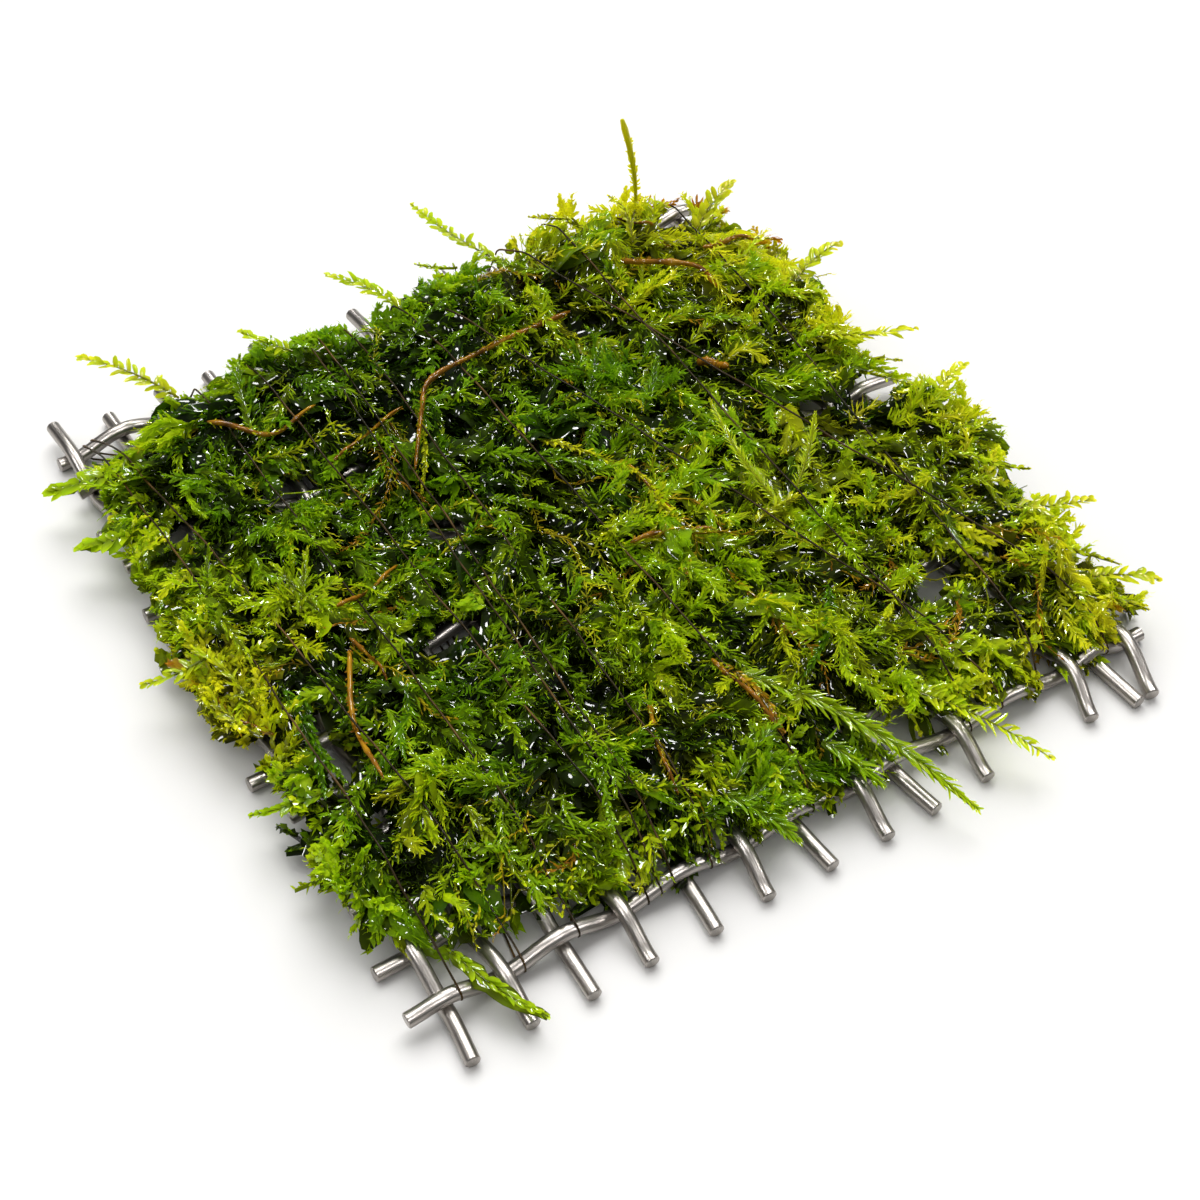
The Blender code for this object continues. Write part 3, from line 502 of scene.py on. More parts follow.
def cut_wire(path, radius, facing):
    """A wire with flat cut ends, whose last ring narrows by a small bevel."""
    radii = np.full(len(path), radius)
    start, end = path[0], path[-1]
    inner_start = start + unit(path[1] - start) * END_BEVEL
    inner_end = end + unit(path[-2] - end) * END_BEVEL
    path = np.concatenate([[start], [inner_start], path[1:-1], [inner_end], [end]])
    radii = np.concatenate([[radius - END_BEVEL], [radius], radii[1:-1], [radius], [radius - END_BEVEL]])
    return sweep(path, radii, WIRE_SIDES, facing)


class MatTop:
    """Square grids of the mat: its top, carried on past the outline, the distance to its rim, which is
    negative outside, and the cap that the thread sets.
    """

    STEP = 0.5
    REACH = 56.0
    RAY_START = 0.1
    NO_CAP = 99.0
    LEFT_SIDE = -36
    PRESS_REACH = 3
    PRESS_DEPTH = 0.05
    PRESS_FLAT = 0.3

    def __init__(self, node):
        mesh = node.data
        corners = [tuple(face.vertices) for face in mesh.polygons]
        tree = BVHTree.FromPolygons([vertex.co for vertex in mesh.vertices], corners)
        self.ticks = np.arange(-self.REACH, self.REACH + self.STEP, self.STEP)
        middle = MESH_MIDDLE * MM
        down = (0, 0, -1)
        rows = []
        for y in self.ticks * MM + middle[1]:
            hits = (tree.ray_cast((x, y, self.RAY_START), down)[0] for x in self.ticks * MM + middle[0])
            rows.append([math.nan if hit is None else (hit.z - middle[2]) / MM for hit in hits])
        self.top = np.array(rows)
        self.fill_outside()
        self.cap = np.full_like(self.top, self.NO_CAP)

    def fill_outside(self):
        """Past the outline the top takes the nearest height inside and droops with the distance."""
        inside = ~np.isnan(self.top)
        near = inside[1:-1, :-2] & inside[1:-1, 2:] & inside[:-2, 1:-1] & inside[2:, 1:-1]
        rim = inside.copy()
        rim[1:-1, 1:-1] &= ~near
        rim_y, rim_x = np.nonzero(rim)
        self.rim = np.zeros_like(self.top)
        heights = self.top[rim_y, rim_x]
        for index in range(len(self.ticks)):
            across = (np.arange(len(self.ticks))[:, None] - rim_x[None]) * self.STEP
            along = (index - rim_y)[None] * self.STEP
            distance = np.hypot(across, along)
            nearest = distance.argmin(1)
            gap = distance[np.arange(len(nearest)), nearest]
            self.rim[index] = np.where(inside[index], gap, -gap)
            droop = np.where(self.ticks < self.LEFT_SIDE, LEFT_DROOP, RIM_DROOP)
            filled = heights[nearest] - droop * gap
            self.top[index] = np.where(inside[index], self.top[index], filled)

    def at(self, grid, x, y):
        """Value of a grid at places, blended between its four nearest points."""
        place_x = np.clip((x + self.REACH) / self.STEP, 0, len(self.ticks) - 1.001)
        place_y = np.clip((y + self.REACH) / self.STEP, 0, len(self.ticks) - 1.001)
        column, row = place_x.astype(int), place_y.astype(int)
        right, up = place_x - column, place_y - row
        low = grid[row, column] * (1 - right) + grid[row, column + 1] * right
        high = grid[row + 1, column] * (1 - right) + grid[row + 1, column + 1] * right
        return low * (1 - up) + high * up

    def press(self, run, slope):
        """Lower the cap near a thread's run: from just below the thread it rises by the slope times the
        distance beyond the flat part to the power 1.2.
        """
        x, y = np.meshgrid(self.ticks, self.ticks)
        for start, end in zip(run, run[1:]):
            step = end - start
            along = ((x - start[0]) * step[0] + (y - start[1]) * step[1]) / (step[0] ** 2 + step[1] ** 2)
            share = np.clip(along, 0, 1)
            gap = np.hypot(x - start[0] - share * step[0], y - start[1] - share * step[1])
            height = start[2] - self.PRESS_DEPTH + share * step[2]
            height = height + slope * np.maximum(gap - self.PRESS_FLAT, 0) ** 1.2
            self.cap = np.minimum(self.cap, np.where(gap < self.PRESS_REACH, height, self.NO_CAP))


def taut_run(start, end, mat, lift):
    """A thread pulled tight over the mat: the upper hull of the heights along a straight plan."""
    shares = np.linspace(0, 1, RUN_STEPS)
    plan = start + (end - start) * shares[:, None]
    x, y = plan[:, 0], plan[:, 1]
    heights = np.where(mat.at(mat.rim, x, y) > -RUN_OVERHANG, mat.at(mat.top, x, y) + lift, 0)
    heights[0], heights[-1] = start[2], end[2]
    hull = []
    for index in range(len(shares)):
        while len(hull) > 1:
            first, last = hull[-2:]
            rise = (heights[last] - heights[first]) * (index - first)
            if rise > (heights[index] - heights[first]) * (last - first):
                break
            hull.pop()
        hull.append(index)
    plan[:, 2] = np.interp(shares, shares[hull], heights[hull])
    return plan[hull], plan


def wrap_points(place, row, outward, radius, low, high):
    """The thread round an end wire: a half circle from its top round the outer side to below it."""
    x = place * PITCH - HALF_MESH
    path = row_path(row, low, high)
    height = np.interp(x, path[:, 0], path[:, 2])
    angle = np.radians(WRAP_ANGLES)
    y = row * PITCH - HALF_MESH + outward * radius * np.sin(angle)
    z = np.maximum(height + radius * np.cos(angle), UNDER_RUN_HEIGHT)
    return np.stack([np.full_like(y, x), y, z], -1)


def channel_at(x, row):
    """Number of the channel between two columns in which x lies at a row."""
    return sum(column_x(column, row) < x for column in range(WIRE_COUNT)) - 1


def under_run(back, front, offset):
    """Points below the mesh from a back wrap to the next front wrap, one channel to a row at most."""
    row = LAST_WIRE - 1
    channel = channel_at(back * PITCH - HALF_MESH, LAST_WIRE)
    last_channel = channel_at(front * PITCH - HALF_MESH, 0)
    channel += (last_channel > channel) - (last_channel < channel)
    stops = [(channel, row)]
    if channel != last_channel:
        stops.append((last_channel, row - abs(last_channel - channel)))
    stops.append((last_channel, 1))
    points = []
    for stop, at_row in stops:
        x = (column_x(stop, at_row) + column_x(stop + 1, at_row)) / 2 + offset * PITCH
        points.append((x, at_row * PITCH - HALF_MESH, UNDER_RUN_HEIGHT))
    return np.array(points)


def thread_route(mat, sizes):
    """The whole thread as one line, and its runs over the moss."""
    low, high = wire_heights(sizes)
    radius = sizes.wire_radius + sizes.thread_radius
    points = []
    runs = []
    for index, (front, back, offset) in enumerate(THREAD_TURNS):
        front_wrap = wrap_points(front, 0, -1, radius, low, high)
        back_wrap = wrap_points(back, LAST_WIRE, 1, radius, low, high)
        lift = THREAD_LIFT + THREAD_ORDER_LIFT * index
        hull, plan = taut_run(front_wrap[0], back_wrap[0], mat, lift)
        runs.append(hull)
        points += [front_wrap[:0:-1], plan, back_wrap[1:]]
        if index + 1 < len(THREAD_TURNS):
            points.append(under_run(back, THREAD_TURNS[index + 1][0], offset))
    return np.concatenate(points), runs


def even_steps(points, step):
    """A line through the points, with a point every step along it, softened over three steps."""
    length = lengths_along(points)
    marks = np.linspace(0, length[-1], max(4, int(length[-1] / step)))
    line = np.stack([np.interp(marks, length, points[:, axis]) for axis in range(3)], -1)
    line[1:-1] = (line[:-2] + line[1:-1] * 2 + line[2:]) / 4
    return line


def smooth_route(route, count):
    """Catmull-Rom curve through route points, count steps to each stretch."""
    route = np.array(route, float)
    ends = np.concatenate([[route[0] * 2 - route[1]], route, [route[-1] * 2 - route[-2]]])
    t = np.linspace(0, 1, count, endpoint=False)[:, None]
    parts = []
    for before, start, end, after in zip(ends, ends[1:], ends[2:], ends[3:]):
        bend = start * 2 + (end - before) * t
        bend = bend + (before * 2 - start * 5 + end * 4 - after) * t ** 2
        bend = bend + (start * 3 - before - end * 3 + after) * t ** 3
        parts.append(bend / 2)
    return np.concatenate(parts + [route[-1:]])


def stem_tube(route, radius, lift, mat, rng):
    """A brown stem on the moss: a rod with knots, whose radius wavers and thins to a broken tip."""
    plan = smooth_route(route, STEM_STEPS)
    height = mat.at(mat.top, plan[:, 0], plan[:, 1]) + lift
    kernel = np.ones(9) / 9
    height = np.convolve(np.pad(height, 4, mode="edge"), kernel, mode="valid")
    path = np.column_stack([plan, height])
    share = np.linspace(0, 1, len(path))
    path[:, 2] += 0.25 * np.sin(share * 9 + rng.uniform(0, TURN))
    knots = rng.uniform(0.08, 0.92, KNOT_COUNT)
    knots = sum(KNOT_HEIGHT * np.exp(-((share - place) / KNOT_WIDTH) ** 2) for place in knots)
    radii = radius * (1 - 0.35 * share + knots + rng.normal(0, 0.05, len(path)))
    radii[[0, -1]] *= 0.35
    radii[[1, -2]] *= 0.85
    return sweep(path, radii, STEM_SIDES, np.array(UP))


SHOOT = np.dtype([(name, float) for name in (
    "x", "y", "heading", "length", "bend", "waver", "phase", "level", "lift", "roll", "tint", "shade",
    "leaf", "width", "gap", "stem", "lean", "strap",
)])


def plan_of(shoots, stations):
    """Plan of each shoot: short steps whose heading turns evenly and wavers as a sine, added up."""
    share = np.linspace(0, 1, stations)[None]
    column = {name: shoots[name][:, None] for name in SHOOT.names}
    angle = column["heading"] + column["bend"] * share
    angle = angle + column["waver"] * np.sin(TURN * (1.2 * share + column["phase"]))
    step = column["length"] / (stations - 1)
    x = column["x"] + np.cumsum(np.cos(angle) * step, 1) - np.cos(angle[:, :1]) * step
    y = column["y"] + np.cumsum(np.sin(angle) * step, 1) - np.sin(angle[:, :1]) * step
    return x, y, angle


def waved(x, y, waves):
    """Sum of sines across the pad, each given by its two rates, its phase and its height."""
    return sum(height * np.sin(u * x + v * y + w) for u, v, w, height in waves)


def lay_shoots(shoots, mat, stations, bed_height):
    """Centre lines of shoots: a share of the way from the bed to the top, lifted towards the tip."""
    x, y, _ = plan_of(shoots, stations)
    share = np.linspace(0, 1, stations)[None]
    top = mat.at(mat.top, x, y) + waved(x, y, HUMMOCKS)
    outside = np.maximum(-mat.at(mat.rim, x, y), 0)
    bed = np.maximum(bed_height - outside * 0.7, LOWEST_LEAF)
    top = np.maximum(top, bed + 0.4)
    z = bed + shoots["level"][:, None] * (top - bed) + shoots["lift"][:, None] * share ** 1.5
    cap = mat.at(mat.cap, x, y)
    z = np.minimum(z, cap)
    return np.stack([x, y, np.maximum(z, LOWEST_LEAF)], -1)


def ripple(x, y, waves):
    """Mean of sines across the pad, each given by its two rates and its phase, from -1 to 1."""
    return sum(np.sin(u * x + v * y + w) for u, v, w in waves) / len(waves)


def kept_on(shoots, mat, allowance):
    """Shorten shoots so that they end at most the allowance beyond the mat's rim.

    Those that head out at the front may reach farther, and those that head out at the left less far.
    """
    steps = 10
    x, y, _ = plan_of(shoots, steps)
    front = (np.sin(shoots["heading"]) < -HEADS_OUT) & (shoots["y"] < FRONT_RIM + RIM_DEPTH)
    left = (np.cos(shoots["heading"]) < -HEADS_OUT) & (shoots["x"] < LEFT_RIM + RIM_DEPTH)
    limit = allowance + np.where(front, FRONT_LEAVE, 0.0) + np.where(left, LEFT_LEAVE, 0.0)
    out = mat.at(mat.rim, x, y) < -limit[:, None]
    first = np.where(out.any(1), out.argmax(1), steps - 1)
    shoots = shoots.copy()
    shoots["length"] *= np.maximum(first / (steps - 1), 0.15)
    return shoots[first > 0]


def stem_axes(paths, roll, up):
    """Along, across and face directions of shoots: the face is up, turned by roll about the stem."""
    along = unit(np.gradient(paths, axis=1))
    across = unit(np.cross(up, along))
    face = np.cross(along, across)
    turn_cos, turn_sin = np.cos(roll)[:, None, None], np.sin(roll)[:, None, None]
    return along, across * turn_cos + face * turn_sin, face * turn_cos - across * turn_sin


def blade_shape(rows, ribbed):
    """Triangles of one blade: a base point, rows of two or three points and a tip point.

    A blade of one row is a kite that folds along its middle.
    """
    if rows == 1:
        return np.array([(0, 1, 3), (0, 3, 2)]), 4
    wide = 3 if ribbed else 2
    tip = 1 + wide * rows
    steps = [(0, 1 + place, 2 + place) for place in range(wide - 1)]
    for row in range(rows - 1):
        for place in range(wide - 1):
            right = 1 + wide * row + place
            steps += [(right, right + wide, right + wide + 1), (right, right + wide + 1, right + 1)]
    last = 1 + wide * (rows - 1)
    steps += [(last + place, tip, last + place + 1) for place in range(wide - 1)]
    return np.array(steps), tip + 1


def shape_of(points, corners, tint, shade):
    """A shape's points, triangles and map places: each tint and shade, kept just inside the map."""
    places = np.stack(np.broadcast_arrays(tint, shade), -1).reshape(-1, 2)
    return points.reshape(-1, 3), corners.reshape(-1, 3), np.clip(places, *MAP_RANGE)


def leaf_blades(
        root, along, across, face, length, width, outline, ribbed, fold, curl, twist, bow, tint, shade,
):
    """Leaves as folded blades.

    A row at share u lies at root + length (u along - curl u^2 face) + u^2 bow, turned by the twist times
    u. Its edges lie half a width times the outline to either side, raised by the fold times that, and the
    midrib lies in the trough between.
    """
    rows = len(outline)
    triangles, size = blade_shape(rows, ribbed)
    count = len(root)
    # Painted light and shade: the edge facing +X, towards the key light, is lighter and the other darker
    painted_edge_light = np.where(across[:, 0] > 0, PAINTED_EDGE_SHADE, -PAINTED_EDGE_SHADE)
    points = np.empty((count, size, 3))
    places = np.empty((count, size, 2))
    points[:, 0] = root
    droop = bow - face * (curl * length)[:, None]
    sides = (-1, 0, 1) if ribbed else (-1, 1)
    for row, (share, spread) in enumerate(outline):
        middle = root + along * (length * share)[:, None] + share ** 2 * droop
        turn_cos, turn_sin = np.cos(twist * share)[:, None], np.sin(twist * share)[:, None]
        row_across = across * turn_cos + face * turn_sin
        row_face = face * turn_cos - across * turn_sin
        for place, side in enumerate(sides):
            index = 1 + len(sides) * row + place
            half = (width * spread / 2)[:, None]
            rise = row_face * (abs(side) * fold[:, None] * half)
            points[:, index] = middle + row_across * (side * half) + rise
            places[:, index, 0] = tint + EDGE_TINT * side
            places[:, index, 1] = shade + TIP_SHADE * share + painted_edge_light * side
    points[:, -1] = root + along * length[:, None] + droop
    places[:, 0] = np.stack([tint, shade], -1)
    places[:, -1] = np.stack([tint, shade + TIP_SHADE], -1)
    corners = triangles[None] + (np.arange(count) * size)[:, None, None]
    return shape_of(points, corners, places[..., 0], places[..., 1])


# Outlines of leaves: rows of the share of the length and the share of the full width
ROUND_LEAF = ((0.05, 0.72), (0.45, 1.0), (0.82, 0.74))
BLUNT_LEAF = ((0.2, 0.9), (0.74, 0.95))
KITE_LEAF = ((0.56, 1.0),)


def over_opening(points, swell=1.0):
    """True where points lie in an opening: each slides down its opening's slant to the mesh's height.

    An opening's edge is an ellipse times 1 + 0.16 sin(3 a + x) + 0.1 sin(5 a + y) at the angle a, and
    times the swell.
    """
    height = (points[..., 2] - MESH_HEIGHT) / (CAMERA_PLACE[2] - points[..., 2])
    x = points[..., 0] + (points[..., 0] - CAMERA_PLACE[0]) * height
    y = points[..., 1] + (points[..., 1] - CAMERA_PLACE[1]) * height
    inside = np.zeros(x.shape, bool)
    for hole_x, hole_y, half_x, half_y in OPENINGS:
        offset_x, offset_y = (x - hole_x) / half_x, (y - hole_y) / half_y
        angle = np.arctan2(offset_y, offset_x)
        edge = 1 + 0.16 * np.sin(3 * angle + hole_x) + 0.1 * np.sin(5 * angle + hole_y)
        inside |= np.hypot(offset_x, offset_y) < edge * swell
    return inside


def bell(x, y, spot_x, spot_y, radius):
    """exp(-(distance / radius)^2) from a spot."""
    return np.exp(-((x - spot_x) ** 2 + (y - spot_y) ** 2) / radius ** 2)


def painted_light_and_shade(shade, points, mat):
    """Shade of points in the mat: darker, as painted shade, the lower they lie below its top, lighter at
    the rim as a painted glow, and lighter or darker by the sum of the painted light spots, each a bell
    curve of the distance.
    """
    x, y = points[..., 0], points[..., 1]
    depth = mat.at(mat.top, x, y) + 0.5 - points[..., 2]
    near = smooth_step(1 - mat.at(mat.rim, x, y) / PAINTED_RIM_GLOW_WIDTH)
    spots = sum(light * bell(x, y, *spot) for *spot, light in PAINTED_LIGHT_SPOTS)
    return shade - PAINTED_DEPTH_SHADE * np.clip(depth, -1.2, 4) * (1 - 0.4 * near) + PAINTED_RIM_GLOW * near + spots


def rounder_at_rim(shoots, mat):
    """Near the rim the leaves are broad lobes set wider apart, and yellower."""
    near = smooth_step(1 - mat.at(mat.rim, shoots["x"], shoots["y"]) / RIM_WIDTH)
    shoots = shoots.copy()
    for name, change in RIM_CHANGES:
        shoots[name] *= 1 + change * near
    shoots["tint"] += RIM_TINT * near
    return shoots


def leafy_shoots(paths, shoots, rng, sizes, outline, unrest, ribbed=False, up=UP, mat=None):
    """Stems and leaves of shoots along their centre lines.

    Leaves stand in two ranks, at the leaf lean to the stem at its base and at less by the lean loss at
    its tip, and are longest a third of the way up. They are turned, cupped, twisted and sized at
    random, the more the greater the unrest. In the mat they keep out of the openings, and are darker
    the deeper they lie, as painted shade, with painted light at the rim and the light spots. Each leaf's
    edge that faces +X, towards the key light, has painted light and the other painted shade.
    """
    along, across, face = stem_axes(paths, shoots["roll"], np.array(up))
    stations = paths.shape[1]
    span = np.linalg.norm(np.diff(paths, axis=1), axis=2).sum(1)
    pairs = np.maximum(np.round(span / shoots["gap"]), LEAST_PAIRS).astype(int)
    owner = np.repeat(np.arange(len(shoots)), pairs * 2)
    first = np.repeat(np.cumsum(pairs * 2) - pairs * 2, pairs * 2)
    order = np.arange(len(owner)) - first
    side = np.where(order % 2 == 0, 1.0, -1.0)
    share = (order // 2 + 0.3 + 0.4 * (order % 2)) / pairs[owner]
    place = np.clip(share, 0, 1) * (stations - 1)
    low = np.minimum(place.astype(int), stations - 2)
    blend = (place - low)[:, None]

    def between(values):
        return values[owner, low] * (1 - blend) + values[owner, low + 1] * blend

    root = between(paths)
    if mat:
        kept = ~over_opening(root + unit(between(along)) * 0.6) | (rng.random(len(root)) < STRAY_LEAVES)
        owner, side, share, root, low, blend = (
            values[kept] for values in (owner, side, share, root, low, blend)
        )
    total = len(owner)
    stem_dir, side_dir, face_dir = unit(between(along)), unit(between(across)), unit(between(face))
    lean = shoots["lean"][owner] * (LEAF_LEAN - LEAN_LOSS * share)
    lean = lean + rng.normal(0, 6 + 12 * unrest, total)
    lean = np.radians(lean)[:, None]
    rise = 8 + rng.normal(0, 10 + 24 * unrest, total)
    rise = np.radians(rise + 38 * (rng.random(total) < unrest / 3))[:, None]
    outward = side_dir * side[:, None] * np.cos(rise) + face_dir * np.sin(rise)
    leaf_dir = unit(stem_dir * np.cos(lean) + outward * np.sin(lean))
    tilt = rng.normal(0, 0.15 + 0.45 * unrest, (2, total, 1))
    leaf_face = unit(face_dir + side_dir * tilt[0] + stem_dir * tilt[1])
    leaf_across = unit(np.cross(leaf_face, leaf_dir))
    leaf_face = np.cross(leaf_dir, leaf_across)
    size = 0.62 + 0.38 * np.sin(math.pi * np.clip(share * 0.75 + 0.22, 0, 1))
    size = size - 0.3 * smooth_step((share - 0.72) / 0.28)
    length = sizes.leaf_length * shoots["leaf"][owner] * size * rng.uniform(0.82, 1.16, total)
    width = sizes.leaf_width * shoots["width"][owner] * (0.75 + 0.25 * size) * rng.uniform(0.85, 1.15, total)
    fold = rng.uniform(0.15, 0.75, total)
    curl = rng.normal(0.06 + 0.1 * unrest, 0.1 + 0.25 * unrest, total)
    twist = rng.normal(0, 0.2 + 1.1 * unrest, total)
    forward = stem_dir - leaf_dir * (stem_dir * leaf_dir).sum(1)[:, None]
    bow = forward * (length * rng.normal(0.34, 0.34, total))[:, None]
    own = shoots["tint"][owner]
    tint = kept_fresh(own + rng.normal(0, 0.022, total) + 0.05 * smooth_step((share - 0.6) / 0.4), own)
    shade = shoots["shade"][owner] + rng.normal(0, LEAF_SHADES * min(1, 2 * unrest), total) + 0.1 * share
    shade = shade + np.where(rng.random(total) < BRIGHT_LEAVES, 0.4 * min(1, 2 * unrest), 0.0)
    if mat:
        shade = painted_light_and_shade(shade, root, mat)
    leaves = leaf_blades(root, leaf_dir, leaf_across, leaf_face, length, width, outline, ribbed, fold, curl,
                         twist, bow, tint, np.clip(shade, *SHADE_RANGE))
    stemmed = (shoots["strap"] == 0) | (shoots["stem"] > 1.5)
    strapped = shoots["strap"] > 0
    return [
        leaves, shoot_stems(*(values[stemmed] for values in (paths, across, face, shoots)), sizes),
        shoot_straps(*(values[strapped] for values in (paths, across, face, shoots)), rng, mat),
    ]


def ring_starts(count, stations):
    """First point's number of each ring but the last, in shoots whose rings have three points."""
    return (np.arange(count * stations) * 3).reshape(count, stations)[:, :-1, None]


def kept_fresh(tint, own):
    """Tints of leaves that, on a shoot whose own tint isn't an old one's, stay below amber."""
    return np.where(own < OLD_TINT, np.minimum(tint, FRESH_TINT), tint)


def shoot_straps(paths, across, face, shoots, rng, mat):
    """Straps that stand for leaves stuck together: two edges that waver and a raised middle line.

    The half width is the strap's own times 0.25 + 0.75 sin(pi (0.1 + 0.86 u^0.8)) at share u.
    """
    count, stations = paths.shape[:2]
    swell = 0.25 + 0.75 * np.sin(math.pi * (0.1 + 0.86 * np.linspace(0, 1, stations) ** 0.8))
    reach = (shoots["strap"][:, None] * swell * rng.uniform(0.6, 1.4, (2, count, stations)))[..., None]
    points = np.stack([
        paths - (across + face * STRAP_SAG) * reach[0],
        paths + face * STRAP_RIDGE,
        paths + (across - face * STRAP_SAG) * reach[1],
    ], 2)
    a = ring_starts(count, stations) + np.arange(2)
    corners = four_sided(a, a + 3, a + 4, a + 1)
    own = shoots["tint"][:, None, None]
    tint = kept_fresh(own + rng.normal(0, 0.015, (count, stations, 3)), own)
    # Painted shade: the straps are darker than the leaves that lie over them
    shade = shoots["shade"][:, None, None] + PAINTED_STRAP_SHADE + rng.normal(0, 0.08, (count, stations, 3))
    shade[..., 1] += STRAP_RIDGE_SHADE
    if mat:
        shade = painted_light_and_shade(shade, points, mat)
    return shape_of(points, corners, tint, shade)


def shoot_stems(paths, across, face, shoots, sizes):
    """Three-sided stems: each ring is the centre line plus a radius that thins to the tip."""
    count, stations = paths.shape[:2]
    angle = np.array([0.5, 0.5 + TURN / 3, 0.5 + 2 * TURN / 3])
    radius = sizes.stem_radius * shoots["stem"][:, None] * (1 - 0.6 * np.linspace(0, 1, stations))
    ring = np.cos(angle)[:, None] * across[:, :, None] + np.sin(angle)[:, None] * face[:, :, None]
    points = paths[:, :, None] + ring * radius[:, :, None, None]
    start, here = ring_starts(count, stations), np.arange(3)
    a, b = start + here, start + (here + 1) % 3
    corners = four_sided(a, b, b + 3, a + 3)
    tint = shoots["tint"]
    tint = np.where(tint < OLD_TINT, np.minimum(tint + 0.04, FRESH_TINT), tint)[:, None, None]
    shade = shoots["shade"][:, None, None] + STEM_SHADE + 0.1 * np.linspace(0, 1, stations)[None, :, None]
    return shape_of(points, corners, tint + 0.01 * (here - 1), shade)


def wet_flecks(leaves, leaf_points, rng, share):
    """Leaf edges that the water holds level: thin curved slivers near the tips of a share of the leaves.

    The face of each leans from straight up by about 12 degrees at random. Its middle line is an arc whose
    rise is a share of its length, and it is widest in the middle.
    """
    tips = leaves[0][leaf_points - 1::leaf_points]
    roots = leaves[0][::leaf_points]
    places = leaves[2][leaf_points - 1::leaf_points]
    chosen = rng.random(len(tips)) < share
    tips, roots, places = tips[chosen], roots[chosen], places[chosen]
    count = len(tips)
    face = unit(np.array(UP) + rng.normal(0, FLECK_LEAN, (count, 3)))
    along = tips - roots
    along = unit(along - face * (along * face).sum(1)[:, None])
    across = np.cross(face, along)
    length = rng.uniform(*FLECK_LENGTH, (count, 1))
    width = rng.uniform(*FLECK_WIDTH, (count, 1))
    arc = length * rng.normal(0, FLECK_ARC, (count, 1))
    start = roots + (tips - roots) * rng.uniform(0.3, 0.9, (count, 1)) + face * FLECK_LIFT
    points = [start]
    for place in (0.33, 0.67):
        middle = start + along * length * place + across * arc * math.sin(math.pi * place)
        points += [middle - across * width, middle + across * width]
    points = np.stack(points + [start + along * length], 1)
    triangles, size = blade_shape(2, False)
    corners = triangles[None, :, ::-1] + (np.arange(count) * size)[:, None, None]
    return points.reshape(-1, 3), corners.reshape(-1, 3), np.repeat(places, size, 0)


def tint_at(x, y):
    """Tint of the moss at places: the mean of the tint spots, weighted by how near they lie."""
    weights = [bell(x, y, *spot) for *spot, _ in TINT_SPOTS]
    total = sum(weight * row[-1] for weight, row in zip(weights, TINT_SPOTS))
    return (total + FAR_WEIGHT * FAR_TINT) / (sum(weights) + FAR_WEIGHT)


def scatter(rng, spacing, mat, inset):
    """Places of a square grid, each moved at random within its cell, where they lie inset on the mat."""
    ticks = np.arange(-SCATTER_REACH, SCATTER_REACH, spacing)
    x, y = (grid.ravel() + rng.uniform(-0.5, 0.5, grid.size) * spacing for grid in np.meshgrid(ticks, ticks))
    kept = mat.at(mat.rim, x, y) > inset
    return x[kept], y[kept]


def flow(x, y, rng, spread):
    """Headings of shoots: outward near the rim, towards the front in the middle, in locks that swing
    to either side as crossed sines of 12 to 30 mm, and spread at random.
    """
    outward = np.arctan2(y, x * 1.1)
    pull = smooth_step((np.maximum(abs(x), abs(y)) - 24) / 20)
    east = np.cos(outward) * pull + math.cos(FRONTWARD) * (1 - pull)
    north = np.sin(outward) * pull + math.sin(FRONTWARD) * (1 - pull)
    swing = waved(x, y, SWINGS) * (1 - 0.6 * pull)
    return np.arctan2(north, east) + swing + rng.normal(0, spread, len(x))


def new_shoots(count, **values):
    """Records of shoots with the given values and ordinary ones elsewhere."""
    shoots = np.zeros(count, SHOOT)
    shoots["leaf"], shoots["width"], shoots["gap"], shoots["stem"], shoots["lean"] = 1, 1, 0.5, 1, 1
    for name, value in values.items():
        shoots[name] = value
    return shoots


def growth(rng, count, bend, waver, level, lift, roll):
    """How shoots grow, drawn at random: bend and roll by a normal spread, the others between two ends."""
    return {
        "bend": rng.normal(0, bend, count),
        "waver": rng.uniform(*waver, count),
        "phase": rng.random(count),
        "level": rng.uniform(*level, count),
        "lift": rng.uniform(*lift, count),
        "roll": rng.normal(0, roll, count),
    }


